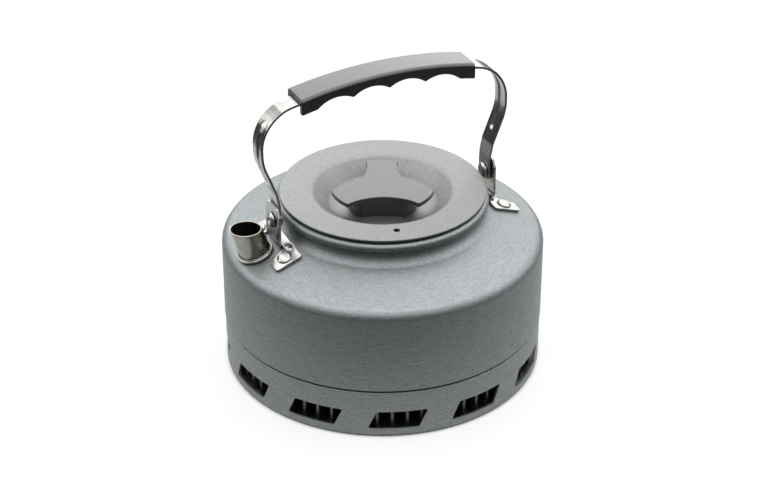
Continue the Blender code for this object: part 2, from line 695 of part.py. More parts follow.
def grip_underside():
    """Lower edge of the grip's side, from +X to -X, with its finger scallops."""
    half = GRIP_LENGTH / 2
    points = [(half, arch(half, GRIP_DEPTH))]
    row = SCALLOP_COUNT * SCALLOP_PITCH / 2
    for index in range(SCALLOP_COUNT):
        start = row - index * SCALLOP_PITCH
        for step in range(7):
            x = start - SCALLOP_PITCH * step / 6
            rise = SCALLOP_DEPTH * math.sin(math.pi * step / 6) ** 0.7 if 0 < step < 6 else 0
            if index and not step:
                continue
            points.append((x, arch(x, GRIP_DEPTH) + rise))
    points.append((-half, arch(half, GRIP_DEPTH)))
    return points


def handle_grip():
    """Moulded grip: an arched channel over the strap, with finger scallops and two screw bosses."""
    half = GRIP_LENGTH / 2
    top = [(half * k / 8, arch(half * k / 8)) for k in range(-8, 9)]
    block = plate("handle_grip", top + grip_underside(), GRIP_WIDTH)
    grip = part("handle_grip", block, BLACK, 0, 0.4, UPRIGHT)
    edge = grip.modifiers.new("edges", "BEVEL")
    edge.width = GRIP_EDGE
    edge.segments = 1
    edge.limit_method = "ANGLE"
    edge.angle_limit = math.radians(70)
    channel_width = STRAP_WIDTH + FIT * 2
    longer = half * 1.2
    roof = [(longer * k / 8, arch(longer * k / 8, GRIP_TOP)) for k in range(-8, 9)]
    low_z = pivot_z + HANDLE_HEIGHT - GRIP_RISE * 2 - GRIP_DEPTH * 2
    channel = plate("channel", roof + [(longer, low_z), (-longer, low_z)], channel_width)
    boolean(grip, cutter("channel", channel, UPRIGHT))
    under = -GRIP_TOP - FIT - STRAP_THICK
    boss = rod("boss", GRIP_BOSS, under, -GRIP_TOP / 2, 16)
    bore_top = under + GRIP_SCREW_BITE + SCREW_BORE_GAP
    bore = rod("boss_bore", GRIP_SCREW_SHANK + SCREW_BORE_GAP, under - FIT, bore_top, 12)
    spots = on_arch()
    boolean(grip, cutter("bosses", copies("bosses", boss, spots)), "UNION")
    boolean(grip, cutter("boss_bores", copies("boss_bores", bore, spots)))
    low = under - FIT
    head = GRIP_SCREW_HEAD
    drop = low - GRIP_SCREW_HEAD_HEIGHT
    profile = [(0, under + GRIP_SCREW_BITE), (GRIP_SCREW_SHANK, under + GRIP_SCREW_BITE),
               (GRIP_SCREW_SHANK, low), (head, low), (head * 0.8, drop), (0, drop)]
    screw = turned("grip_screw", profile, 12)
    made = [part("grip_screw_" + name, screw, STEEL, 1.0, 0.3, spot)
            for name, spot in zip(("spout_side", "far_side"), spots)]
    return [grip] + made


def lid_shell():
    """Pressed lid: flat rim with a rolled edge, a dish for the knob and a steam vent."""
    swing = math.degrees(DISH_WALL_ANGLE)
    drop = (DISH_EDGE + DISH_FILLET) * (1 - math.cos(DISH_WALL_ANGLE))
    across = (DISH_EDGE + DISH_FILLET) * math.sin(DISH_WALL_ANGLE)
    dish_floor = DISH_RADIUS - across - (DISH_DEPTH - drop) / math.tan(DISH_WALL_ANGLE)
    profile = [(0, dish_z)]
    profile += arc(dish_floor, dish_z + DISH_FILLET, DISH_FILLET, -90, swing - 90, 2)
    profile += arc(DISH_RADIUS, lid_top_z - DISH_EDGE, DISH_EDGE, 90 + swing, 90, 2)
    profile += [(lid_radius - LID_EDGE_ROUND, lid_top_z), (lid_radius, lid_top_z - LID_EDGE_ROUND)]
    profile += [(lid_radius, lid_seat_z + LID_EDGE_ROUND), (lid_radius - LID_EDGE_ROUND, lid_seat_z)]
    profile += [(lid_radius - LID_EDGE_WIDTH, lid_seat_z), (lid_radius - LID_EDGE_WIDTH, lid_under_z)]
    profile += arc(DISH_RADIUS, lid_top_z - DISH_EDGE, DISH_EDGE - LID_SHEET, 90, 90 + swing, 1)
    profile += arc(dish_floor, dish_z + DISH_FILLET, DISH_FILLET + LID_SHEET, swing - 90, -90, 1)
    profile += [(0, dish_z - LID_SHEET)]
    lid = part("lid_shell", turned("lid_shell", profile), GREY, 0.6, 0.4)
    span = (dish_z - LID_SHEET * 2, lid_top_z + LID_SHEET)
    vent_place = round_z(VENT_ANGLE, DISH_RADIUS + VENT_OFFSET)
    boolean(lid, cutter("vent", rod("vent", VENT_RADIUS, *span, 16), vent_place))
    boolean(lid, cutter("knob_hole", rod("knob_hole", KNOB_SCREW_SHANK + FIT, *span, 16)))
    return lid


def plug_ring():
    """Angle-section ring under the rim, which keeps the lid centred in the neck."""
    outside = neck_inside - PLUG_CLEARANCE
    inside = outside - PLUG_SHEET
    top = lid_under_z - FIT
    low = top - PLUG_DEPTH
    flange = outside - PLUG_FLANGE
    profile = [(outside, top), (outside, low), (inside, low), (inside, top - PLUG_SHEET),
               (flange, top - PLUG_SHEET), (flange, top)]
    return part("lid_plug_ring", turned("lid_plug_ring", profile, 36, ring=True), GREY, 0.6, 0.4)


def knob_outline():
    """Three lobes: arcs of the outer circle, rounded tips and three hollow arcs between them."""
    reach = KNOB_RADIUS - KNOB_TIP
    away = KNOB_SCALLOP + KNOB_TIP
    side = KNOB_SCALLOP_OFFSET
    swing = math.acos((reach ** 2 + side ** 2 - away ** 2) / (2 * reach * side))
    tip = Vector((reach * math.cos(swing), reach * math.sin(swing)))
    toward = math.atan2(tip.y, tip.x - side)
    points = []
    for lobe in range(3):
        turn = Matrix.Rotation(KNOB_ANGLE + math.tau * lobe / 3 + math.pi / 3, 2)
        hollow = [math.tau - toward - (math.tau - 2 * toward) * k / 8 for k in range(9)]
        rim = [swing + (math.tau / 3 - 2 * swing) * k / 5 for k in range(6)]
        low = [Vector((side, 0)) + KNOB_SCALLOP * Vector((math.cos(a), math.sin(a)))
               for a in hollow]
        ball = [toward - math.pi + (math.pi - toward + swing) * k / 4 for k in range(1, 4)]
        nose = [tip + KNOB_TIP * Vector((math.cos(a), math.sin(a))) for a in ball]
        outer = [Vector((KNOB_RADIUS * math.cos(a), KNOB_RADIUS * math.sin(a))) for a in rim]
        mirrored = [Vector((p.x, -p.y)) for p in reversed(nose)]
        follow = [Matrix.Rotation(math.tau / 3, 2) @ p for p in mirrored]
        points += [tuple(turn @ p) for p in low + nose + outer + follow]
    return points


def lid_knob():
    """Moulded three-lobed knob on a hub, with its screw and washer under the dish."""
    slab = plate("lid_knob", knob_outline(), KNOB_PLATE)
    place = Matrix.Translation((0, 0, knob_top_z - KNOB_PLATE / 2))
    knob = part("lid_knob", slab, BLACK, 0, 0.4, place)
    edge = knob.modifiers.new("edges", "BEVEL")
    edge.width = KNOB_EDGE
    edge.segments = 1
    edge.limit_method = "ANGLE"
    edge.angle_limit = math.radians(60)
    hub_top = knob_top_z - KNOB_PLATE / 2
    hub = rod("hub", HUB_RADIUS, hub_z, hub_top, 32, HUB_RADIUS + HUB_FLARE)
    boolean(knob, cutter("hub", hub), "UNION")
    bore_top = hub_z + KNOB_SCREW_BITE + FIT
    bore = KNOB_SCREW_SHANK + FIT
    boolean(knob, cutter("hub_bore", rod("hub_bore", bore, hub_z - FIT, bore_top, 16)))
    low = washer_top_z - WASHER_THICK
    profile = [(WASHER_RADIUS, washer_top_z), (WASHER_RADIUS, low), (bore, low), (bore, washer_top_z)]
    washer = part("knob_washer", turned("knob_washer", profile, 16, ring=True), STEEL, 1.0, 0.3)
    head = KNOB_SCREW_HEAD
    drop = screw_head_z - KNOB_SCREW_HEAD_HEIGHT
    tip = hub_z + KNOB_SCREW_BITE
    profile = [(0, tip), (KNOB_SCREW_SHANK, tip), (KNOB_SCREW_SHANK, screw_head_z), (head, screw_head_z),
               (head, screw_head_z - KNOB_SCREW_HEAD_HEIGHT / 2), (head * 0.7, drop), (0, drop)]
    screw = part("knob_screw", turned("knob_screw", profile, 16), STEEL, 1.0, 0.3)
    return [knob, washer, screw]


def carrier(name, place, riders):
    """Empty on a joint's axis that carries the pieces of one moving body."""
    axis = bpy.data.objects.new(name, None)
    axis.location = place
    parts.objects.link(axis)
    bpy.context.view_layer.update()
    for rider in riders:
        rider.parent = axis
        rider.matrix_parent_inverse = axis.matrix_world.inverted()


body_shell()
heat_skirt()
fin_ring()
spout()
brackets()
carrier("bail_axis", (0, 0, pivot_z), [bail_strap()] + handle_grip())
carrier("lid_axis", (0, 0, lid_seat_z), [lid_shell(), plug_ring()] + lid_knob())
bpy.context.view_layer.update()
print("pivot height %.2f mm, strap outside at %.2f mm" % (pivot_z * 1000, strap_outside * 1000))
print("lid radius %.2f mm, rim at %.2f mm" % (lid_radius * 1000, lid_top_z * 1000))
print("spout axis at %.2f mm, neck inside %.2f mm" % (spout_x * 1000, neck_inside * 1000))
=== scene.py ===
# %% [markdown]
# A camping kettle, from the frame to the finished looks
#
# The kettle is already there as plain solids, packed as a frame of bodies and nodes. This
# lesson gives it the shapes and finishes of the real one. Each step builds one piece in
# millimetres, in the place where it belongs, and scales it to metres at the very end. That keeps
# the numbers readable, and no object ever has to be moved.

# %% Load the frame
import math

import bmesh
import bpy
from mathutils import Matrix, Vector


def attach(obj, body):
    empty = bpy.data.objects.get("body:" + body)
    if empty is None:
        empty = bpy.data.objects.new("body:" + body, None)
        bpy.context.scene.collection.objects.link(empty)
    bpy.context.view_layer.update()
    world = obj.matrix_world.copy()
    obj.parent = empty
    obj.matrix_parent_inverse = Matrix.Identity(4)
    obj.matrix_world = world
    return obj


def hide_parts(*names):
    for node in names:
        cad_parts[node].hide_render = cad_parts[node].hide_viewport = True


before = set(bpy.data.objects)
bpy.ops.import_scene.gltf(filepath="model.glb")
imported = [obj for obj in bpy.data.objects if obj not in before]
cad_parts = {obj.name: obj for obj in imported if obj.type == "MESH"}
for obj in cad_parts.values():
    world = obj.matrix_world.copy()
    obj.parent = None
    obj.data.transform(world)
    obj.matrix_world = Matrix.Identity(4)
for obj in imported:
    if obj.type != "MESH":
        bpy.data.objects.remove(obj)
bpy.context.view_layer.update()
MM = 0.001

# %% [markdown]
# Two helpers carry most of the modelling. The first draws a line through corners and rounds
# each corner with a bevel on its vertex, as a draughtsman rounds a corner with a radius. The
# distance that the bevel needs along the line follows from the radius and the corner's angle.
# The second turns such a line round the kettle's axis, as a lathe or a spinning chuck does.

# %% Lines with rounded corners, and the lathe
ROUND_STEPS = 192


def draw_line(form, corners, closed=True, arc_steps=6):
    """Joins (across, up, radius) corners in the XZ plane and rounds each by its radius."""
    points = [form.verts.new((x, 0, z)) for x, z, radius in corners]
    count = len(points)
    for i in range(count if closed else count - 1):
        form.edges.new((points[i], points[(i + 1) % count]))
    for i, (x, z, radius) in enumerate(corners):
        if not radius:
            continue
        before = Vector(corners[i - 1][:2]) - Vector((x, z))
        after = Vector(corners[(i + 1) % count][:2]) - Vector((x, z))
        reach = radius / math.tan(before.angle(after) / 2)
        bmesh.ops.bevel(form, geom=[points[i]], offset=reach, offset_type="OFFSET",
                        affect="VERTICES", segments=arc_steps, profile=0.5, material=-1,
                        clamp_overlap=False)


def on_lathe(corners, closed=True, steps=ROUND_STEPS, arc_steps=6):
    """Spins a rounded line round the Z axis into a closed skin that faces outwards."""
    form = bmesh.new()
    draw_line(form, corners, closed, arc_steps)
    bmesh.ops.spin(form, geom=form.verts[:] + form.edges[:], cent=(0, 0, 0), axis=(0, 0, 1),
                   angle=math.tau, steps=steps, use_merge=True)
    bmesh.ops.remove_doubles(form, verts=form.verts, dist=0.0005)
    bmesh.ops.recalc_face_normals(form, faces=form.faces)
    return form


# %% [markdown]
# The next helpers end every piece in the same way: scale it to metres, shade it smooth with
# sharp edges where the surface really turns, let it ride on its body, and hide the plain solid
# that it stands for. Modifiers are worked out here, so the mesh holds just what is seen. The
# last of them weights the normals by face size, so a flat stays flat right up to its rounding.

# %% Finishing a piece
def work_out(piece):
    """Replaces the piece's mesh by what its modifiers make of it."""
    bpy.context.view_layer.update()
    seen = piece.evaluated_get(bpy.context.evaluated_depsgraph_get())
    rough = piece.data
    piece.data = bpy.data.meshes.new_from_object(seen)
    piece.modifiers.clear()
    bpy.data.meshes.remove(rough)
    piece.data.name = piece.name


def settle(piece, sharp=40):
    """Works out the piece's modifiers and marks its sharp edges."""
    if piece.modifiers:
        work_out(piece)
    piece.data.shade_smooth()
    piece.data.set_sharp_from_angle(angle=math.radians(sharp))


def make_piece(name, form, sharp=40):
    """Turns a form in millimetres into an object in metres."""
    bmesh.ops.scale(form, vec=(MM, MM, MM), verts=form.verts)
    mesh = bpy.data.meshes.new(name)
    form.to_mesh(mesh)
    form.free()
    piece = bpy.data.objects.new(name, mesh)
    bpy.context.scene.collection.objects.link(piece)
    settle(piece, sharp)
    return piece


def fit_in(piece, body, slot, material, *nodes):
    """Gives the piece its finish and its place in the kettle."""
    piece.modifiers.new("even_shading", "WEIGHTED_NORMAL").keep_sharp = True
    work_out(piece)
    piece.data.materials.clear()
    piece.data.materials.append(material)
    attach(piece, body)
    if nodes:
        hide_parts(*nodes)
    print(piece.name, len(piece.data.polygons), "faces")


def cut(piece, form, operation="DIFFERENCE"):
    """Cuts a form in millimetres out of a piece, or joins it on, with an exact boolean."""
    tool = make_piece("cutting_tool", form)
    step = piece.modifiers.new("cut", "BOOLEAN")
    step.operation = operation
    step.solver = "EXACT"
    step.object = tool
    settle(piece)
    shape = tool.data
    bpy.data.objects.remove(tool)
    bpy.data.meshes.remove(shape)


def thicken(piece, sheet, edge=0.0, offset=0.0):
    """Gives a flat sheet its thickness in millimetres, and eases its edges."""
    wall = piece.modifiers.new("sheet", "SOLIDIFY")
    wall.thickness = sheet * MM
    wall.offset = offset
    wall.use_even_offset = True
    if edge:
        ease = piece.modifiers.new("edge", "BEVEL")
        ease.width = edge * MM
        ease.segments = 2
        ease.limit_method = "ANGLE"
        ease.angle_limit = math.radians(50)
    settle(piece)


def bar(radius, low, high, steps=64):
    """A round bar or disc along Z, to cut with or to start from."""
    form = bmesh.new()
    bmesh.ops.create_cone(form, cap_ends=True, segments=steps, radius1=radius, radius2=radius,
                          depth=high - low, matrix=Matrix.Translation((0, 0, (low + high) / 2)))
    return form


# %% [markdown]
# Every finish is a small tree of nodes round one Principled shader. Colours are written as the
# hex values that a picture editor shows, and one function turns them to the linear values that
# light needs. One more function adds a node, sets it and links it.

# %% Helpers for the finishes
def linear(code):
    """Linear RGBA of an sRGB hex colour."""
    shares = [int(code[i:i + 2], 16) / 255 for i in (0, 2, 4)]
    return [s / 12.92 if s <= 0.04045 else ((s + 0.055) / 1.055) ** 2.4 for s in shares] + [1]


def add_node(tree, kind, settings=(), values=(), links=()):
    """Adds a node, sets its properties and its inputs, and links (input, node, output)."""
    node = tree.nodes.new(kind)
    for key, value in dict(settings).items():
        setattr(node, key, value)
    for key, value in dict(values).items():
        node.inputs[key].default_value = value
    for key, source, output in links:
        tree.links.new(source.outputs[output], node.inputs[key])
    return node


def new_finish(name, colour, metallic, roughness):
    """A material with its Principled shader, and the Object coordinates that patterns read."""
    material = bpy.data.materials.new(name)
    material.use_nodes = True
    tree = material.node_tree
    shader = tree.nodes["Principled BSDF"]
    shader.inputs["Base Color"].default_value = linear(colour)
    shader.inputs["Metallic"].default_value = metallic
    shader.inputs["Roughness"].default_value = roughness
    place = add_node(tree, "ShaderNodeTexCoord")
    return material, tree, shader, place


def two_tone(tree, shader, pattern, dark, light, low=0.3, high=0.7):
    """Base colour that wanders between two hex colours as a pattern says."""
    ramp = add_node(tree, "ShaderNodeValToRGB", links=[("Fac", pattern, 0)])
    ramp.color_ramp.elements[0].position = low
    ramp.color_ramp.elements[0].color = linear(dark)
    ramp.color_ramp.elements[1].position = high
    ramp.color_ramp.elements[1].color = linear(light)
    tree.links.new(ramp.outputs["Color"], shader.inputs["Base Color"])


def vary_roughness(tree, shader, pattern, smooth, rough):
    """Roughness that a pattern moves between two values."""
    span = add_node(tree, "ShaderNodeMapRange", values={"To Min": smooth, "To Max": rough},
                    links=[("Value", pattern, 0)])
    tree.links.new(span.outputs["Result"], shader.inputs["Roughness"])


def emboss(tree, shader, pattern, depth, strength=1.0):
    """Bump from a pattern, its depth in millimetres."""
    bump = add_node(tree, "ShaderNodeBump", values={"Strength": strength, "Distance": depth * MM},
                    links=[("Height", pattern, 0)])
    tree.links.new(bump.outputs["Normal"], shader.inputs["Normal"])


def per_mm(size):
    """Scale of a noise whose blotches are this many millimetres across."""
    return 1 / (size * MM)


# %% [markdown]
# The vessel, the skirt and the lid are hard anodised aluminium. The sheet is blasted and brushed
# on a turning chuck before the bath, so it comes out a satin grey with a very fine grain and
# short streaks that run round the axis. The real grain is about 0.05 mm, too fine to show here,
# so it is drawn 0.8 mm wide. The streaks come from a noise that is read round the axis: its
# first two numbers are the direction from the axis, and its third counts height less radius,
# which grows steadily up the side and inwards over the shoulder and the lid. The length of a
# streak is true at a radius of 60 mm, about the middle of the shoulder.

# %% Anodised finishes
MIDDLE_RADIUS = 60


def round_the_axis(tree, place, streak, width):
    """Coordinates whose noise runs in streaks round the axis, streak by width millimetres."""
    parts = add_node(tree, "ShaderNodeSeparateXYZ", links=[("Vector", place, "Object")])
    across = add_node(tree, "ShaderNodeCombineXYZ", links=[("X", parts, "X"), ("Y", parts, "Y")])
    radius = add_node(tree, "ShaderNodeVectorMath", {"operation": "LENGTH"}, links=[(0, across, 0)])
    facing = add_node(tree, "ShaderNodeVectorMath", {"operation": "NORMALIZE"},
                      links=[(0, across, 0)])
    facing = add_node(tree, "ShaderNodeSeparateXYZ", links=[("Vector", facing, 0)])
    height = add_node(tree, "ShaderNodeMath", {"operation": "SUBTRACT"},
                      links=[(0, parts, "Z"), (1, radius, "Value")])
    spot = add_node(tree, "ShaderNodeCombineXYZ",
                    links=[("X", facing, "X"), ("Y", facing, "Y"), ("Z", height, 0)])
    turned = MIDDLE_RADIUS / streak
    return add_node(tree, "ShaderNodeMapping", values={"Scale": (turned, turned, per_mm(width))},
                    links=[("Vector", spot, "Vector")])


def anodised(name, dark, light, roughness, streaks):
    """Hard anodised, blasted sheet: fine grain and short streaks round the kettle's axis."""
    material, tree, shader, place = new_finish(name, light, 1.0, roughness)
    grain = add_node(tree, "ShaderNodeTexNoise", values={"Scale": per_mm(0.8), "Detail": 4.0},
                     links=[("Vector", place, "Object")])
    turned = round_the_axis(tree, place, 4, 0.6)
    brushed = add_node(tree, "ShaderNodeTexNoise", values={"Scale": 1.0, "Detail": 3.0},
                       links=[("Vector", turned, "Vector")])
    both = add_node(tree, "ShaderNodeMix", {"data_type": "FLOAT"}, {"Factor": streaks},
                    links=[("A", grain, "Fac"), ("B", brushed, "Fac")])
    two_tone(tree, shader, both, dark, light, 0.4, 0.6)
    vary_roughness(tree, shader, both, roughness - 0.04, roughness + 0.06)
    emboss(tree, shader, both, 0.02, 0.5)
    return material


vessel_anodised = anodised("anodised_drawn_aluminium", "747879", "888C8D", 0.57, 0.45)
skirt_anodised = anodised("anodised_skirt_aluminium", "757979", "8A8E8E", 0.55, 0.35)
lid_anodised = anodised("anodised_pressed_lid", "6E706F", "7B7D7C", 0.5, 0.35)
fin_anodised = anodised("anodised_folded_fin", "5C5C57", "6C6C66", 0.45, 0.2)
print("anodised finishes ready")

# %% [markdown]
# The strap and the brackets are stamped from bright stainless strip. Strip mills leave fine
# lines along the strip, which blur reflections a little more one way than the other. A noise
# stretched along X and Z stands for them. The rivets are cold headed, so their heads are smooth
# and a little dull where the tool struck them.

# %% Bright steel, spout metal
def strip_steel(name, dark, light, roughness, stretch):
    """Cold rolled bright strip: metal with fine lines and a soft cloudiness."""
    material, tree, shader, place = new_finish(name, light, 1.0, roughness)
    lines = add_node(tree, "ShaderNodeMapping", values={"Scale": stretch},
                     links=[("Vector", place, "Object")])
    rolled = add_node(tree, "ShaderNodeTexNoise", values={"Scale": 1.0, "Detail": 3.0},
                      links=[("Vector", lines, "Vector")])
    cloud = add_node(tree, "ShaderNodeTexNoise", values={"Scale": per_mm(4), "Detail": 2.0},
                     links=[("Vector", place, "Object")])
    two_tone(tree, shader, cloud, dark, light)
    vary_roughness(tree, shader, rolled, roughness - 0.06, roughness + 0.1)
    emboss(tree, shader, rolled, 0.01, 0.1)
    return material


steel_strip = strip_steel("bright_rolled_steel", "8B8B88", "A09F9C", 0.2, (60, per_mm(0.3), 60))
rivet_steel = strip_steel("headed_rivet_steel", "929290", "A4A4A1", 0.3, (400, 400, 400))
spout_metal = strip_steel("drawn_nickelled_tube", "7D7C74", "908E85", 0.24,
                          (per_mm(0.6), per_mm(0.6), 30))
collar_metal = strip_steel("swaged_nickelled_collar", "8A8982", "9D9B94", 0.24, (300, 300, 300))
print("bright metals ready")

# %% [markdown]
# Grip and knob are moulded from black nylon. The mould is spark eroded, so the skin is a fine
# even grain that turns the softbox into a broad pale sheen. The skin of a moulding is richer in
# resin than its core, which a coat over the grain stands for. The grain is about 0.1 mm in
# reality and is drawn at 0.35 mm here, which is as fine as the render can show.

# %% Moulded nylon
def moulded(name, dark, light, roughness, skin):
    """Spark eroded black moulding: dielectric, fine grain, soft broad gloss."""
    material, tree, shader, place = new_finish(name, light, 0.0, roughness)
    shader.inputs["IOR"].default_value = 1.53
    shader.inputs["Coat Weight"].default_value = skin
    shader.inputs["Coat Roughness"].default_value = 0.3
    grain = add_node(tree, "ShaderNodeTexNoise", values={"Scale": per_mm(0.35), "Detail": 2.0},
                     links=[("Vector", place, "Object")])
    two_tone(tree, shader, grain, dark, light)
    vary_roughness(tree, shader, grain, roughness - 0.05, roughness + 0.08)
    emboss(tree, shader, grain, 0.02, 0.3)
    return material


grip_nylon = moulded("moulded_black_nylon", "0B0B0B", "131313", 0.32, 0.43)
knob_nylon = moulded("moulded_knob_nylon", "080807", "0E0E0D", 0.32, 0.45)
print("mouldings ready")

# %% [markdown]
# The vessel is drawn from one disc of aluminium. Its section is one line: floor, a step for the
# skirt, the side, a rounded shoulder, a cone of 18 degrees, the neck and a rolled bead. Inside
# the line runs back one sheet thickness away. Spinning that line gives the whole vessel, and
# the spout's hole is cut square to the cone.

# %% Vessel
SLOPE = math.radians(18)
BODY_RADIUS, STEP_RADIUS = 77.5, 76.1
FLOOR_Z = 17.5
SEAM_Z = 25.3
NECK_RADIUS = 47.8
BEAD_LOW, BEAD_HIGH = 83.2, 87.6
BEAD_OUT = 50.8


def cone_z(radius):
    """Height of the shoulder's outside at a radius."""
    return 68.446 + (73.907 - radius) * math.tan(SLOPE)


def vessel_section():
    """The vessel's section from the floor up the outside and down the inside."""
    sheet = 1 / math.cos(SLOPE)
    inside = NECK_RADIUS - 1
    outer = [(0, FLOOR_Z, 0), (STEP_RADIUS, FLOOR_Z, 3.5), (STEP_RADIUS, SEAM_Z + 0.4, 0),
             (BODY_RADIUS, SEAM_Z + 0.3, 0.35), (BODY_RADIUS, cone_z(BODY_RADIUS), 5.2),
             (NECK_RADIUS, cone_z(NECK_RADIUS), 5.6), (NECK_RADIUS, BEAD_LOW, 0.15)]
    bead = [(BEAD_OUT, BEAD_LOW, 2.1), (BEAD_OUT, BEAD_HIGH, 1.99), (inside, BEAD_HIGH, 1.94)]
    inner = [(inside, cone_z(inside) - sheet, 6.6),
             (BODY_RADIUS - 1, cone_z(BODY_RADIUS - 1) - sheet, 4.2),
             (BODY_RADIUS - 1, SEAM_Z + 2, 0.5), (STEP_RADIUS - 1, SEAM_Z + 1, 0.5),
             (STEP_RADIUS - 1, FLOOR_Z + 1, 2.5), (0, FLOOR_Z + 1, 0)]
    return outer + bead + inner


def on_cone(x, y):
    """Place on the shoulder, with its own Z square to the surface."""
    radius = math.hypot(x, y)
    return (Matrix.Translation((x, y, cone_z(radius))) @ Matrix.Rotation(math.atan2(y, x), 4, "Z")
            @ Matrix.Rotation(SLOPE, 4, "Y"))


SPOUT_PLACE = Matrix.Rotation(math.pi, 4, "Z") @ on_cone(66.2, 0)
vessel = make_piece("kettle_vessel", on_lathe(vessel_section(), closed=False))
hole = bar(7.7, -8, 8)
bmesh.ops.transform(hole, matrix=SPOUT_PLACE, verts=hole.verts)
cut(vessel, hole)
fit_in(vessel, "vessel", "anodised_grey", vessel_anodised, "body_shell")

# %% [markdown]
# The skirt is a strip that is punched flat and then rolled into a ring, and it is modelled in
# the same order. One twelfth of the strip is filled round its window, whose corners are bevelled
# vertices. It is cut into narrow bands, and copies of it are laid side by side, twelve in all.
# Then the strip is rolled round the axis and turned in at the foot. Punching first keeps the
# window's edges true.

# %% Skirt with its windows
SKIRT_RADIUS = 77.2
WINDOWS = 12
PITCH = math.tau * SKIRT_RADIUS / WINDOWS
FOOT_TURN, FOOT_WIDTH = 1.6, 3.6
STRIP_LOW = FOOT_TURN - FOOT_TURN * math.pi / 2 - FOOT_WIDTH
STRIP_HIGH = 25
TOP_ROLL = 24.15


def flat_strip():
    """One window's share of the skirt's strip, flat: across in X, up in Z."""
    form = bmesh.new()
    draw_line(form, [(-14.3, 4.6, 0.8), (10.0, 4.6, 0.8), (14.3, 13.9, 0.8), (-10.0, 13.9, 0.8)],
              arc_steps=3)
    draw_line(form, [(-PITCH / 2, STRIP_LOW, 0), (PITCH / 2, STRIP_LOW, 0),
                     (PITCH / 2, STRIP_HIGH, 0), (-PITCH / 2, STRIP_HIGH, 0)])
    bmesh.ops.triangle_fill(form, use_beauty=True, edges=form.edges)
    bands = [(x * PITCH / 24, 1) for x in range(-11, 12)]
    rows = [FOOT_TURN - FOOT_TURN * math.radians(a) for a in (0, 22.5, 45, 67.5, 90)]
    rows += [TOP_ROLL, TOP_ROLL + 0.2, TOP_ROLL + 0.4]
    for place, axis in bands + [(z, 0) for z in rows]:
        bmesh.ops.bisect_plane(form, geom=form.verts[:] + form.edges[:] + form.faces[:],
                               plane_co=(place, 0, 0) if axis else (0, 0, place),
                               plane_no=(1, 0, 0) if axis else (0, 0, 1), dist=0.0001)
    return form


def rolled(spot):
    """Where a point of the flat strip ends up once the strip is rolled and its foot turned in."""
    angle = spot.x / SKIRT_RADIUS
    radius, z = SKIRT_RADIUS, spot.z
    if spot.z < FOOT_TURN:
        turn = min((FOOT_TURN - spot.z) / FOOT_TURN, math.pi / 2)
        inward = max(0, STRIP_LOW + FOOT_WIDTH - spot.z)
        radius += FOOT_TURN * (math.cos(turn) - 1) - inward
        z = FOOT_TURN * (1 - math.sin(turn))
    if spot.z > TOP_ROLL:
        turn = min(1, (spot.z - TOP_ROLL) / 0.6) * math.pi / 2
        radius -= 0.5 * (1 - math.cos(turn))
        z = TOP_ROLL + 0.35 * math.sin(turn)
    return Vector((radius * math.cos(angle), radius * math.sin(angle), z))


def skirt_sheet():
    """All twelve shares side by side, rolled up and joined."""
    form = flat_strip()
    share = form.verts[:] + form.edges[:] + form.faces[:]
    shift = 9.4 / 360 * math.tau * SKIRT_RADIUS
    bmesh.ops.translate(form, vec=(shift, 0, 0), verts=form.verts)
    for k in range(1, WINDOWS):
        twin = bmesh.ops.duplicate(form, geom=share)["geom"]
        bmesh.ops.translate(form, vec=(PITCH * k, 0, 0),
                            verts=[v for v in twin if isinstance(v, bmesh.types.BMVert)])
    for spot in form.verts:
        spot.co = rolled(spot.co)
    bmesh.ops.remove_doubles(form, verts=form.verts, dist=0.001)
    bmesh.ops.recalc_face_normals(form, faces=form.faces)
    return form


skirt = make_piece("punched_skirt", skirt_sheet())
outward = sum(f.normal.dot(f.center) for f in skirt.data.polygons if abs(f.normal.z) < 0.2) > 0
thicken(skirt, 0.8, offset=-1 if outward else 1)
fit_in(skirt, "vessel", "skirt_grey", skirt_anodised, "heat_skirt")

# %% [markdown]
# Behind the windows a long strip of thin sheet is folded in and out round the flame. Each fold
# is two turns and two straight runs, and takes four quarter steps round the ring. The line of
# all folds is drawn once, all its corners are rounded with one bevel, it is pulled up to the
# floor, and it gets its thickness last.

# %% Folded fins
FOLDS = 64
FIN_OUTER, FIN_INNER = 73.25, 62.75
FIN_LOW, FIN_HEIGHT = 1.1, 16.0
FOLD_STEPS = ((-0.35, FIN_OUTER), (0.35, FIN_OUTER), (1.4, FIN_INNER), (2.6, FIN_INNER))


def fin_line():
    """The folded strip seen from above, with round turns, pulled up to the kettle's floor."""
    form = bmesh.new()
    quarter = math.tau / FOLDS / 4
    spots = []
    for fold in range(FOLDS):
        for step, radius in FOLD_STEPS:
            angle = (fold * 4 + step) * quarter
            place = (radius * math.cos(angle), radius * math.sin(angle), FIN_LOW)
            spots.append(form.verts.new(place))
    for before, after in zip(spots[-1:] + spots, spots):
        form.edges.new((before, after))
    bmesh.ops.bevel(form, geom=spots, offset=0.45, affect="VERTICES", segments=3, profile=0.5,
                    material=-1)
    pulled = bmesh.ops.extrude_edge_only(form, edges=form.edges[:])["geom"]
    bmesh.ops.translate(form, vec=(0, 0, FIN_HEIGHT),
                        verts=[v for v in pulled if isinstance(v, bmesh.types.BMVert)])
    bmesh.ops.recalc_face_normals(form, faces=form.faces)
    return form


fins = make_piece("folded_fins", fin_line(), sharp=60)
thicken(fins, 0.5)
fit_in(fins, "vessel", "fin_dark", fin_anodised, "fin_ring")

# %% [markdown]
# The spout is a short tube, square to the shoulder, with its mouth cut level. The tube is turned
# on the lathe too long, laid in its place and cut with a level plane. The plane opens the wall,
# so the two rims are bridged, and a small bevel rounds the lip that the light catches. The
# collar is the flange that the tube is swaged against. It stands on a narrower foot, so a line
# of shadow runs under it, and a fine ring above it closes the joint with the tube.

# %% Spout and collar
MOUTH_HEIGHT = 15.2


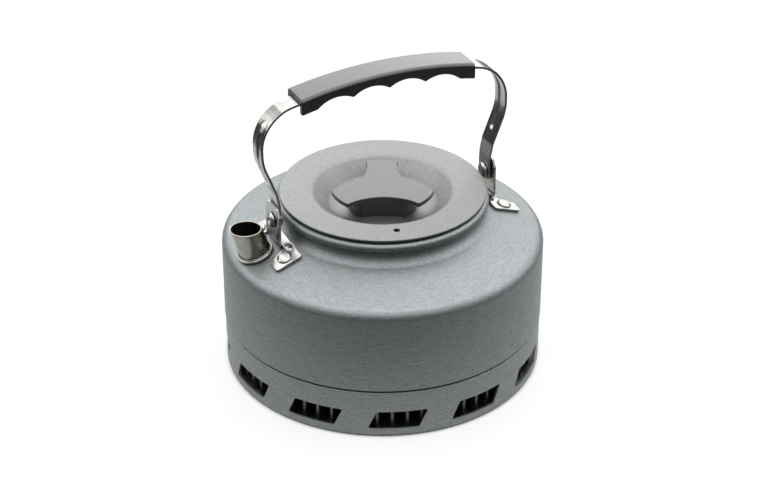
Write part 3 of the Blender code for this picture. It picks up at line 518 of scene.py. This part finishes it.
def spout_form():
    """Tube in its place, cut level at the mouth, with a rounded lip."""
    form = on_lathe([(7.45, -1.3, 0), (7.45, 22, 0), (6.65, 22, 0), (6.65, -2.1, 0), (7.7, -2.1, 0),
                     (7.7, -1.3, 0)], steps=72)
    bmesh.ops.transform(form, matrix=SPOUT_PLACE, verts=form.verts)
    mouth = SPOUT_PLACE @ Vector((0, 0, MOUTH_HEIGHT))
    bmesh.ops.bisect_plane(form, geom=form.verts[:] + form.edges[:] + form.faces[:], plane_co=mouth,
                           plane_no=(0, 0, 1), clear_outer=True)
    rims = [e for e in form.edges if e.is_boundary]
    lip = bmesh.ops.bridge_loops(form, edges=rims)["faces"]
    bmesh.ops.recalc_face_normals(form, faces=form.faces)
    edges = {e for f in lip for e in f.edges if abs(e.calc_face_angle(0)) > 0.6}
    bmesh.ops.bevel(form, geom=list(edges), offset=0.3, affect="EDGES", segments=4, profile=0.5,
                    material=-1)
    return form, mouth


tube_form, MOUTH = spout_form()
spout = make_piece("pouring_tube", tube_form)
fit_in(spout, "vessel", "spout_metal", spout_metal, "spout_tube")
collar_form = on_lathe([(7.75, 0.3, 0.05), (8.0, 0.3, 0.1), (8.0, 0.85, 0.1), (8.75, 0.85, 0.3),
                        (8.75, 1.8, 0.4), (8.05, 1.8, 0.1), (8.05, 2.35, 0.25), (7.75, 2.35, 0.1)],
                       steps=72, arc_steps=4)
bmesh.ops.transform(collar_form, matrix=SPOUT_PLACE, verts=collar_form.verts)
fit_in(make_piece("spout_bead", collar_form), "vessel", "spout_metal", collar_metal, "spout_collar")
print("mouth at", [round(c, 1) for c in MOUTH])

# %% [markdown]
# A bracket starts as a flat stamping: a base with two wings, and a tongue between them. The
# outline is drawn flat and filled, and cut into narrow bands so that it can bend. Then it is
# pressed to the shoulder's cone, and the tongue is folded up into the ear that holds the handle.
# Folding the drawn stamping gives the true fold and the open notches beside it. The press also
# strikes a small dart into each wing beside the fold, which stiffens it. RIDE is the height of
# the sheet's middle over the shoulder.

# %% Brackets
FOLD_RADIUS = 1.5
EAR_X = 56.8
FOLD_START = EAR_X - FOLD_RADIUS * (1 + math.sin(SLOPE))
FOLD_LENGTH = FOLD_RADIUS * (math.pi / 2 + SLOPE)
RIDE = 0.95
EAR_TOP = 95.0
DART_DEPTH = 0.5
BASE_INNER = 51.0


def flat_bracket():
    """The stamping seen from above, flat, with the tongue still lying between the wings."""
    start_z = cone_z(FOLD_START) + RIDE + FOLD_RADIUS * math.cos(SLOPE)
    tip = FOLD_START + FOLD_LENGTH + EAR_TOP - start_z
    half = [(BASE_INNER, 19.6, 1.6), (64.4, 20.6, 1.6), (64.4, 13.4, 1.2), (57.0, 9.5, 0.9),
            (55.4, 9.2, 0.5), (55.4, 7.8, 0.3), (tip - 4.2, 7.8, 1.4), (tip, 5.2, 1.2)]
    form = bmesh.new()
    draw_line(form, half + [(x, -y, r) for x, y, r in reversed(half)], arc_steps=4)
    bmesh.ops.rotate(form, cent=(0, 0, 0), matrix=Matrix.Rotation(-math.pi / 2, 3, "X"),
                     verts=form.verts)
    bmesh.ops.triangle_fill(form, use_beauty=True, edges=form.edges)
    cuts = [(FOLD_START + FOLD_LENGTH * k / 6, 0) for k in range(7)]
    cuts += [(BASE_INNER + k * 0.6, 0) for k in range(1, 23)]
    cuts += [(k * 0.7, 1) for k in range(-29, 30)]
    for place, axis in cuts:
        bmesh.ops.bisect_plane(form, geom=form.verts[:] + form.edges[:] + form.faces[:],
                               plane_co=(0, place, 0) if axis else (place, 0, 0),
                               plane_no=(0, 1, 0) if axis else (1, 0, 0), dist=0.0001)
    return form


def pressed(spot):
    """Where a point of the flat stamping ends up on the cone, or in the folded ear."""
    if spot.x <= FOLD_START or abs(spot.y) > 8.5:
        off = ((spot.x - 53.3) / 1.5) ** 2 + ((abs(spot.y) - 10.2) / 1.7) ** 2
        z = cone_z(math.hypot(spot.x, spot.y)) + RIDE - DART_DEPTH * math.exp(-off)
        return Vector((spot.x, spot.y, z))
    along = spot.x - FOLD_START
    turn = min(along, FOLD_LENGTH) / FOLD_RADIUS - SLOPE
    sag = cone_z(math.hypot(FOLD_START, spot.y)) - cone_z(FOLD_START)
    sag *= max(0, 1 - along / FOLD_LENGTH)
    centre_x = FOLD_START + FOLD_RADIUS * math.sin(SLOPE)
    centre_z = cone_z(FOLD_START) + RIDE + FOLD_RADIUS * math.cos(SLOPE)
    return Vector((centre_x + FOLD_RADIUS * math.sin(turn), spot.y,
                   centre_z - FOLD_RADIUS * math.cos(turn) + max(0, along - FOLD_LENGTH) + sag))


def bracket(name, turn, node):
    """One bracket, pressed, thickened and turned to its side of the kettle."""
    form = flat_bracket()
    for spot in form.verts:
        spot.co = pressed(spot.co)
    bmesh.ops.recalc_face_normals(form, faces=form.faces)
    bmesh.ops.rotate(form, cent=(0, 0, 0), matrix=Matrix.Rotation(turn, 3, "Z"), verts=form.verts)
    piece = make_piece(name, form)
    thicken(piece, 1.0, edge=0.3)
    fit_in(piece, "vessel", "polished_steel", steel_strip, node)


bracket("folded_bracket_far", 0, "bracket_far_side")
bracket("folded_bracket_spout", math.pi, "bracket_spout_side")

# %% [markdown]
# Rivets are turned as one line each: a wide low head, the shank through the sheets, and the
# upset tail inside. The handle's pivots are semi-tubular rivets: a smooth head on the inside,
# and outside the drilled end, rolled over into a ring with a crater in its middle. The head is
# almost flat and turns down only near its edge, which keeps it from looking like half a ball.

# %% Rivets and pivots
PIVOT_Z = 86.81
PIN_OUTER, PIN_INNER = 57.6, 54.5


def low_head(radius, height, base):
    """A rivet's head as a rounded line, from its crown to its edge."""
    return [(0, base + height, 0), (radius * 0.7, base + height * 0.94, radius * 0.45),
            (radius - 0.05, base + height * 0.4, 0.35), (radius, base, 0.1)]


def wing_rivet(name, place):
    """One rivet that holds a bracket's wing to the shoulder."""
    line = low_head(3.6, 1.4, 1.35) + [(1.7, 1.35, 0), (1.7, -1.3, 0), (3.0, -1.3, 0),
                                       (3.0, -2.2, 0.3), (0, -2.2, 0)]
    form = on_lathe(line, closed=False, steps=40, arc_steps=5)
    bmesh.ops.transform(form, matrix=place, verts=form.verts)
    fit_in(make_piece("set_" + name, form), "vessel", "rivet_steel", rivet_steel, name)


def pivot_rivet(name, turn):
    """The pin that the strap turns on: rolled over outside the ear, headed inside the strap."""
    line = [(0, 58.0, 0), (1.2, 58.0, 0.3), (1.5, 59.15, 0.4), (2.5, 59.2, 0.7), (3.75, 58.3, 0.8),
            (4.0, PIN_OUTER, 0.2), (2.2, PIN_OUTER, 0), (2.2, PIN_INNER, 0)]
    line += [(r, PIN_INNER - z, bow) for r, z, bow in reversed(low_head(4.0, 1.6, 0))]
    form = on_lathe(line, closed=False, steps=48, arc_steps=5)
    lay = Matrix(((0, 0, 1, 0), (1, 0, 0, 0), (0, 1, 0, PIVOT_Z), (0, 0, 0, 1)))
    bmesh.ops.transform(form, matrix=Matrix.Rotation(turn, 4, "Z") @ lay, verts=form.verts)
    fit_in(make_piece("set_" + name, form), "vessel", "rivet_steel", rivet_steel, name)


for side, turn in (("far", 0), ("spout", math.pi)):
    around = Matrix.Rotation(turn, 4, "Z")
    for hand, y in (("left", 15), ("right", -15)):
        wing_rivet("wing_rivet_%s_%s" % (side, hand), around @ on_cone(57.7, y))
    pivot_rivet("pivot_rivet_%s_side" % side, turn)

# %% [markdown]
# The handle's strap is one strip, 10 mm by 1.2 mm, with four bends on each side. The line of
# its outer face is drawn with a radius at each bend, cut into short steps and drawn out sideways
# into lanes. The stiffening rib is pressed by moving each point outwards by how deep it lies
# inside the rib's long outline, which has round ends. The feet are narrowed to half circles
# round the pivots.

# %% Strap
CROWN_Z = 153.906
ARCH_RADIUS = 213.03
STRAP_HALF = 5
UNDER_CROWN = 2.7
INSIDE_Z = 110
RIB_ENDS = (PIVOT_Z + 22.9, PIVOT_Z + 49.9)
RIB_HALF, RIB_DEPTH = 2.1, 0.55
LANES = [-5, -4, -3, -2.5, -2.1, -1.7, -1.3, -0.9, -0.45, 0,
         0.45, 0.9, 1.3, 1.7, 2.1, 2.5, 3, 4, 5]


def arch_z(x, below):
    """Height at x of the line that runs this far below the grip's crown."""
    return CROWN_Z - ARCH_RADIUS + math.sqrt((ARCH_RADIUS - below) ** 2 - x * x)


def strap_line():
    """The strap's outer face from foot to foot, with a radius at each bend."""
    side = [(56.0, PIVOT_Z - 5, 0), (56.0, PIVOT_Z + 9.0, 14), (57.2, PIVOT_Z + 15.2, 4),
            (63.8, PIVOT_Z + 32.4, 22), (63.8, 142.66, 19.5)]
    half = side + [(x, arch_z(x, UNDER_CROWN), 0) for x in (40.9, 32.7, 24.5, 16.4, 8.2)]
    middle = [(0, arch_z(0, UNDER_CROWN), 0)]
    return half + middle + [(-x, z, r) for x, z, r in reversed(half)]


def rib_depth(y, z):
    """How far the rib stands out at a point of the strap, in millimetres."""
    beyond = max(RIB_ENDS[0] - z, z - RIB_ENDS[1], 0)
    inside = 1 - math.hypot(y, beyond) / RIB_HALF
    return RIB_DEPTH * max(0, min(1, inside / 0.55)) ** 0.8


def strap_sheet():
    """The strap as a thin sheet, bent, with its rib pressed and its feet rounded."""
    form = bmesh.new()
    draw_line(form, strap_line(), closed=False, arc_steps=10)
    for e in form.edges[:]:
        steps = int(e.calc_length() / 0.8)
        if steps:
            bmesh.ops.subdivide_edges(form, edges=[e], cuts=steps)
    out = {}
    for v in form.verts:
        ends = [e.other_vert(v).co for e in v.link_edges]
        run = ends[1] - ends[0] if len(ends) > 1 else ends[0] - v.co
        square = Vector((run.z, 0, -run.x)).normalized()
        out[v] = square if square.dot(Vector((v.co.x, 0, v.co.z - INSIDE_Z))) > 0 else -square
    row = form.edges[:]
    for before, after in zip(LANES, LANES[1:]):
        made = bmesh.ops.extrude_edge_only(form, edges=row)["geom"]
        fresh = [v for v in made if isinstance(v, bmesh.types.BMVert)]
        row = [e for e in made if isinstance(e, bmesh.types.BMEdge)
               and e.verts[0] in fresh and e.verts[1] in fresh]
        bmesh.ops.translate(form, vec=(0, after - before, 0), verts=fresh)
        for v in fresh:
            root = next(e.other_vert(v) for e in v.link_edges if e.other_vert(v) in out)
            out[v] = out[root]
    for v in form.verts:
        v.co.y += LANES[0]
        if v.co.z < PIVOT_Z:
            v.co.y *= math.sqrt(max(0, 1 - ((PIVOT_Z - v.co.z) / STRAP_HALF) ** 2))
    for v in form.verts:
        v.co += out[v] * rib_depth(v.co.y, v.co.z)
    bmesh.ops.remove_doubles(form, verts=form.verts, dist=0.01)
    bmesh.ops.recalc_face_normals(form, faces=form.faces)
    return form


strap = make_piece("bent_strap", strap_sheet())
top = max(strap.data.polygons, key=lambda f: f.center.z)
thicken(strap, 1.2, edge=0.25, offset=-1 if top.normal.z > 0 else 1)
fit_in(strap, "bail", "polished_steel", steel_strip, "bail_strap")

# %% [markdown]
# The grip is a moulded channel that arches over the strap. Its section, an upside-down U with
# soft corners, is swept along the arch by a spin round the arch's centre. The four finger
# hollows are arcs of one circle in the lower edge. The sweep's rows are spaced to fall on the
# cusps between them, so the lower edge is simply raised row by row, which a boolean can't do as
# cleanly. Upright planes trim the ends, and three insets round each of them off.

# %% Grip
GRIP_HALF, GRIP_SIDE = 44.5, 8.25
CHANNEL_SIDE, CHANNEL_ROOF = 5.3, 2.4
GRIP_DEPTH = 7.6
FINGER_PITCH, FINGER_HALF, FINGER_DEPTH = 18.4, 9.0, 2.7
ROWS_PER_FINGER = 32
LOWER_ROUND, END_ROUND = 0.75, 0.7


def finger_rise(angle):
    """How far the grip's lower edge rises at an angle from the crown."""
    along = abs(angle) * (ARCH_RADIUS - GRIP_DEPTH)
    if along >= 2 * FINGER_PITCH:
        return 0
    radius = (FINGER_HALF ** 2 + FINGER_DEPTH ** 2) / (2 * FINGER_DEPTH)
    off = along % FINGER_PITCH - FINGER_PITCH / 2
    return max(0, math.sqrt(radius ** 2 - off ** 2) - radius + FINGER_DEPTH)


def grip_form():
    """Arched U channel over the strap, with finger hollows and rounded ends."""
    form = bmesh.new()
    top, low, roof = CROWN_Z, CROWN_Z - GRIP_DEPTH, CROWN_Z - CHANNEL_ROOF
    draw_line(form, [(-GRIP_SIDE, low, LOWER_ROUND), (-GRIP_SIDE, top, 2.0), (GRIP_SIDE, top, 2.0),
                     (GRIP_SIDE, low, LOWER_ROUND), (CHANNEL_SIDE, low, LOWER_ROUND),
                     (CHANNEL_SIDE, roof, 0.4), (-CHANNEL_SIDE, roof, 0.4),
                     (-CHANNEL_SIDE, low, LOWER_ROUND)], arc_steps=5)
    bmesh.ops.rotate(form, cent=(0, 0, 0), matrix=Matrix.Rotation(math.pi / 2, 3, "Z"),
                     verts=form.verts)
    centre = Vector((0, 0, CROWN_Z - ARCH_RADIUS))
    rows = math.ceil(2.4 * ROWS_PER_FINGER)
    half = rows * FINGER_PITCH / (ARCH_RADIUS - GRIP_DEPTH) / ROWS_PER_FINGER
    bmesh.ops.rotate(form, cent=centre, matrix=Matrix.Rotation(-half, 3, "Y"), verts=form.verts)
    bmesh.ops.spin(form, geom=form.verts[:] + form.edges[:], cent=centre, axis=(0, 1, 0),
                   angle=half * 2, steps=rows * 2)
    for spot in form.verts:
        arm = Vector((spot.co.x, 0, spot.co.z - centre.z))
        if arm.length < ARCH_RADIUS - GRIP_DEPTH + LOWER_ROUND + 0.05:
            spot.co += arm.normalized() * finger_rise(math.atan2(arm.x, arm.z))
    for side in (-1, 1):
        bmesh.ops.bisect_plane(form, geom=form.verts[:] + form.edges[:] + form.faces[:], dist=0.02,
                               plane_co=(side * (GRIP_HALF - END_ROUND), 0, 0),
                               plane_no=(side, 0, 0), clear_outer=True)
    rims = [e for e in form.edges if e.is_boundary]
    ends = bmesh.ops.holes_fill(form, edges=rims, sides=0)["faces"]
    bmesh.ops.recalc_face_normals(form, faces=form.faces)
    turns = [math.radians(a) for a in (0, 30, 60, 90)]
    for before, after in zip(turns, turns[1:]):
        bmesh.ops.inset_region(form, faces=ends, use_even_offset=True,
                               thickness=END_ROUND * (math.cos(before) - math.cos(after)),
                               depth=END_ROUND * (math.sin(after) - math.sin(before)))
    return form


grip = make_piece("moulded_grip", grip_form())
fit_in(grip, "bail", "grip_black", grip_nylon, "handle_grip")

# %% [markdown]
# The lid is pressed from one disc: a flat rim that is turned down at its edge, and a dish that
# makes room for fingers under the knob. It is spun like the vessel, and a drill cuts the steam
# vent beside the dish.

# %% Lid
LID_TOP = 89.86
DISH_FLOOR = 81.36
LID_RADIUS = 49.5
over = [(0, DISH_FLOOR, 0), (23.9, DISH_FLOOR, 9.0), (34.3, LID_TOP, 5.5),
        (LID_RADIUS, LID_TOP, 0.55)]
rim = [(LID_RADIUS, 88.6, 0.35), (48.2, 88.6, 0), (48.2, 87.9, 0.1), (46.9, 87.9, 0.1)]
under = [(46.9, LID_TOP - 1, 0.1), (34.66, LID_TOP - 1, 4.5), (24.26, DISH_FLOOR - 1, 10.0),
         (0, DISH_FLOOR - 1, 0)]
lid = make_piece("pressed_lid", on_lathe(over + rim + under, closed=False))


def at_angle(degrees, radius):
    """Place on a circle round the axis."""
    angle = math.radians(degrees)
    return Vector((radius * math.cos(angle), radius * math.sin(angle), 0))


drill = bar(1.6, 80, 95, steps=40)
bmesh.ops.translate(drill, vec=at_angle(-106.8, 40.6), verts=drill.verts)
cut(lid, drill)
fit_in(lid, "lid", "lid_grey", lid_anodised, "lid_shell")

# %% [markdown]
# The knob is a round plate from which three larger circles take the finger hollows, so it is
# made just so: a disc, three cutting bars, a bevel on the six tips and one on the rims. Its foot
# is a smaller disc, cut by slightly wider bars round the same three places, so its walls stand a
# little back from the plate. It reaches down to the dish.

# %% Knob
KNOB_TOP, KNOB_LOW = 91.7, 89.5
HOLLOW_ANGLES, HOLLOW_CENTRE = (125, 245, 5), 36.7


def three_lobes(name, disc, hollow_radius):
    """A disc with three finger hollows, as a form in millimetres again for its bevels."""
    lobes = make_piece(name, disc)
    for angle in HOLLOW_ANGLES:
        form = bar(hollow_radius, 75, 95, steps=180)
        bmesh.ops.translate(form, vec=at_angle(angle, HOLLOW_CENTRE), verts=form.verts)
        cut(lobes, form)
    form = bmesh.new()
    form.from_mesh(lobes.data)
    bmesh.ops.scale(form, vec=(1 / MM,) * 3, verts=form.verts)
    mesh = lobes.data
    bpy.data.objects.remove(lobes)
    bpy.data.meshes.remove(mesh)
    return form


plate = three_lobes("knob_plate", bar(25.0, KNOB_LOW, KNOB_TOP, steps=180), 24.5)
bmesh.ops.dissolve_limit(plate, angle_limit=0.002, verts=plate.verts, edges=plate.edges)
upright = [e for e in plate.edges if abs(e.verts[0].co.z - e.verts[1].co.z) > 2]
tips = [e for e in upright if e.calc_face_angle(0) > 0.6]
bmesh.ops.bevel(plate, geom=tips, offset=1.2, affect="EDGES", segments=6, profile=0.5,
                material=-1)
rims = [e for e in plate.edges if e.calc_face_angle(0) > 1.2]
bmesh.ops.bevel(plate, geom=rims, offset=0.35, affect="EDGES", segments=3, profile=0.5,
                material=-1)
knob = make_piece("three_lobed_knob", plate)
cut(knob, three_lobes("knob_foot", bar(16.8, 81.66, 90.5, steps=180), 25.1), "UNION")
fit_in(knob, "lid", "knob_black", knob_nylon, "lid_knob")
print("knob tips bevelled:", len(tips))

# %% [markdown]
# The lid's plug ring and the screws are seldom seen, and their solids are already right. They
# keep their shape and only get the finish of their neighbours.

# %% Finishes for the solids that stay
for name, material in (("lid_plug_ring", lid_anodised), ("knob_washer", rivet_steel),
                       ("knob_screw", rivet_steel), ("grip_screw_spout_side", rivet_steel),
                       ("grip_screw_far_side", rivet_steel)):
    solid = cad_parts[name]
    if not solid.material_slots:
        solid.data.materials.append(material)
    for holder in solid.material_slots:
        holder.material = material
    print(name, "keeps its shape")

# %% [markdown]
# The kettle stands on a plain pale table. A photographer burns such a table out to white, so
# camera and metal see it mostly as a white of its own, and a quarter of it is left to the light,
# which keeps the kettle's soft shadow. That white fades in over the first 1.6 mm outside the
# foot and is missing under the kettle: a painted contact shadow round the foot, and painted
# shade behind the fins. The air does the same as the table: white where it is looked at or
# mirrored, and a dim grey as a source of light.

# %% Table and air
FOOT_EDGE, WHITE_FROM, WHITE_SHARE = 0.0772, 0.0788, 0.75


def seen_directly(tree):
    """1 for camera, mirror and glass rays, and 0 for the light that a surface scatters."""
    path = add_node(tree, "ShaderNodeLightPath")
    mirrored = add_node(tree, "ShaderNodeMath", {"operation": "MAXIMUM"},
                        links=[(0, path, "Is Glossy Ray"), (1, path, "Is Transmission Ray")])
    return add_node(tree, "ShaderNodeMath", {"operation": "MAXIMUM"},
                    links=[(0, path, "Is Camera Ray"), (1, mirrored, 0)])


floor_form = bmesh.new()
bmesh.ops.create_grid(floor_form, x_segments=1, y_segments=1, size=12000)
floor = make_piece("studio_floor", floor_form)
pale, tree, shader, place = new_finish("matt_white_table", "F2F2F1", 0.0, 0.8)
shader.inputs["Specular IOR Level"].default_value = 0.2
uneven = add_node(tree, "ShaderNodeTexNoise", values={"Scale": 4.0},
                  links=[("Vector", place, "Object")])
two_tone(tree, shader, uneven, "DADAD9", "E2E2E1")
white = add_node(tree, "ShaderNodeEmission", values={"Strength": 1.0})
apart = add_node(tree, "ShaderNodeVectorMath", {"operation": "LENGTH"},
                 links=[(0, place, "Object")])
# Painted shade: the table's own white is left out under the kettle and fades in over 1.6 mm round
# its foot, a painted contact shadow.
painted_shade_ramp = add_node(tree, "ShaderNodeMapRange",
                      values={"From Min": FOOT_EDGE, "From Max": WHITE_FROM,
                              "To Min": 0.0, "To Max": WHITE_SHARE},
                      links=[("Value", apart, "Value")])
share = add_node(tree, "ShaderNodeMath", {"operation": "MULTIPLY"},
                 links=[(0, seen_directly(tree), 0), (1, painted_shade_ramp, 0)])
burnt = add_node(tree, "ShaderNodeMixShader",
                 links=[("Fac", share, 0), (1, shader, "BSDF"), (2, white, "Emission")])
tree.links.new(burnt.outputs[0], tree.nodes["Material Output"].inputs["Surface"])
floor.data.materials.append(pale)

world = bpy.data.worlds.new("studio_air")
bpy.context.scene.world = world
world.use_nodes = True
tree = world.node_tree
dim = tree.nodes["Background"]
dim.inputs["Color"].default_value = linear("9A9B9C")
bright = add_node(tree, "ShaderNodeBackground", values={"Color": (1, 1, 1, 1), "Strength": 1.0})
air = add_node(tree, "ShaderNodeMixShader",
               links=[("Fac", seen_directly(tree), 0), (1, dim, "Background"),
                      (2, bright, "Background")])
tree.links.new(air.outputs[0], tree.nodes["World Output"].inputs["Surface"])
print("table and air ready")

# %% [markdown]
# The lid and the shoulder mirror the lamps and look pale. The side and the strap look dark,
# because they mirror what lies low: black cloth on the table outside the picture, and a black
# card standing far round it, higher on the camera's side. Photographers use such cards to give
# bright metal its dark lines. The camera doesn't see them, and they cast no shadow. One more
# dark disc lies under the kettle, inside its foot. It is painted shade that the camera sees as
# the dark behind the fins, and it casts no shadow either.

# %% Black cloth and cards, and painted shade under the kettle
CAMERA_SIDE = -26


def towards(azimuth, elevation):
    """Direction from the kettle at an azimuth and an elevation in degrees."""
    swing, lift = math.radians(azimuth), math.radians(elevation)
    return Vector((math.sin(swing) * math.cos(lift), -math.cos(swing) * math.cos(lift),
                   math.sin(lift)))


BEHIND = towards(CAMERA_SIDE + 180, 0)
CARD_RISE = 0.36


def black_card(name, corners, shift, dark, light, seen=False):
    """A ring of black cloth or card, moved to behind the kettle and seen only as a reflection, or
    with seen a dark disc of painted shade that the camera sees too.
    """
    form = on_lathe(corners, closed=False, steps=96)
    for spot in form.verts:
        if spot.co.z > 1:
            spot.co.z += CARD_RISE * max(0, -spot.co.dot(BEHIND))
    bmesh.ops.translate(form, vec=BEHIND * shift, verts=form.verts)
    card = make_piece(name, form)
    card.visible_camera = seen
    card.visible_shadow = False
    card.visible_diffuse = False
    cloth, tree, shader, place = new_finish(name + "_nap", dark, 0.0, 0.95)
    shader.inputs["Specular IOR Level"].default_value = 0.1
    nap = add_node(tree, "ShaderNodeTexNoise", values={"Scale": per_mm(5)},
                   links=[("Vector", place, "Object")])
    two_tone(tree, shader, nap, dark, light)
    card.data.materials.append(cloth)


black_card("felt_on_table", [(256, 0.6, 0), (1600, 0.6, 0)], 112, "464646", "46464C")
black_card("low_card_ring", [(1700, 0.6, 0), (1700, 330, 0)], 0, "0C0C0C", "0C0C12")
# Painted shade: this dark disc under the kettle stands for the shade there, and the camera sees it
# through the windows behind the fins.
black_card("painted_shade_under_kettle", [(0, 0.3, 0), (72, 0.3, 0)], 0, "2C2C2A", "2C2C30", seen=True)
print("cloth and cards laid out")

# %% [markdown]
# The photograph is lit by a tent of softboxes: one behind the kettle, one above it, a weaker one
# over the camera, and one at each side. Each is a rectangle that faces the kettle. What a metal
# mirrors is how bright a lamp's face is, so that is what is chosen here, and the lamp's power
# follows from it and from its size.

# %% Softboxes
LAMPS_AIM = Vector((0, 0, 0.08))


def softbox(name, azimuth, elevation, away, width, height, radiance):
    """Area light that faces the kettle. Its power follows from how bright its face should be."""
    light = bpy.data.lights.new(name, "AREA")
    light.shape = "RECTANGLE"
    light.size = width
    light.size_y = height
    light.energy = radiance * math.pi * width * height
    lamp = bpy.data.objects.new(name, light)
    bpy.context.scene.collection.objects.link(lamp)
    spot = towards(azimuth, elevation)
    lamp.location = spot * away + LAMPS_AIM
    lamp.rotation_euler = spot.to_track_quat("Z", "Y").to_euler()
    lamp.visible_camera = False
    print(name, "%.1f W" % light.energy)


softbox("softbox_behind", CAMERA_SIDE + 180, 31, 1.3, 1.7, 1.3, 2.1)
softbox("softbox_above", CAMERA_SIDE + 180, 88, 1.0, 1.5, 1.25, 2.4)
softbox("softbox_over_camera", CAMERA_SIDE, 50, 1.15, 1.3, 0.5, 1.5)
softbox("softbox_left", CAMERA_SIDE - 100, 30, 1.15, 0.9, 0.65, 2.5)
softbox("softbox_right", CAMERA_SIDE + 100, 30, 1.15, 0.9, 0.65, 2.9)

# %% [markdown]
# The camera stands where the photographer stood. Its place was worked out from the ellipses of
# the rims: 30.6 degrees above the table, 26 degrees to the left of the kettle's own front, and
# not quite a metre away.

# %% Camera
lens = bpy.data.cameras.new("photo_camera")
lens.lens = 95.5
lens.sensor_width = 36
lens.shift_x = -0.00084
camera = bpy.data.objects.new("photo_camera", lens)
bpy.context.scene.collection.objects.link(camera)
bpy.context.scene.camera = camera
sight = towards(CAMERA_SIDE, 30.59)
camera.location = sight * 0.9814 + Vector((0, 0, 0.05959))
camera.rotation_euler = sight.to_track_quat("Z", "Y").to_euler()
bpy.context.scene.view_settings.view_transform = "Standard"
print("camera at", [round(c, 3) for c in camera.location])
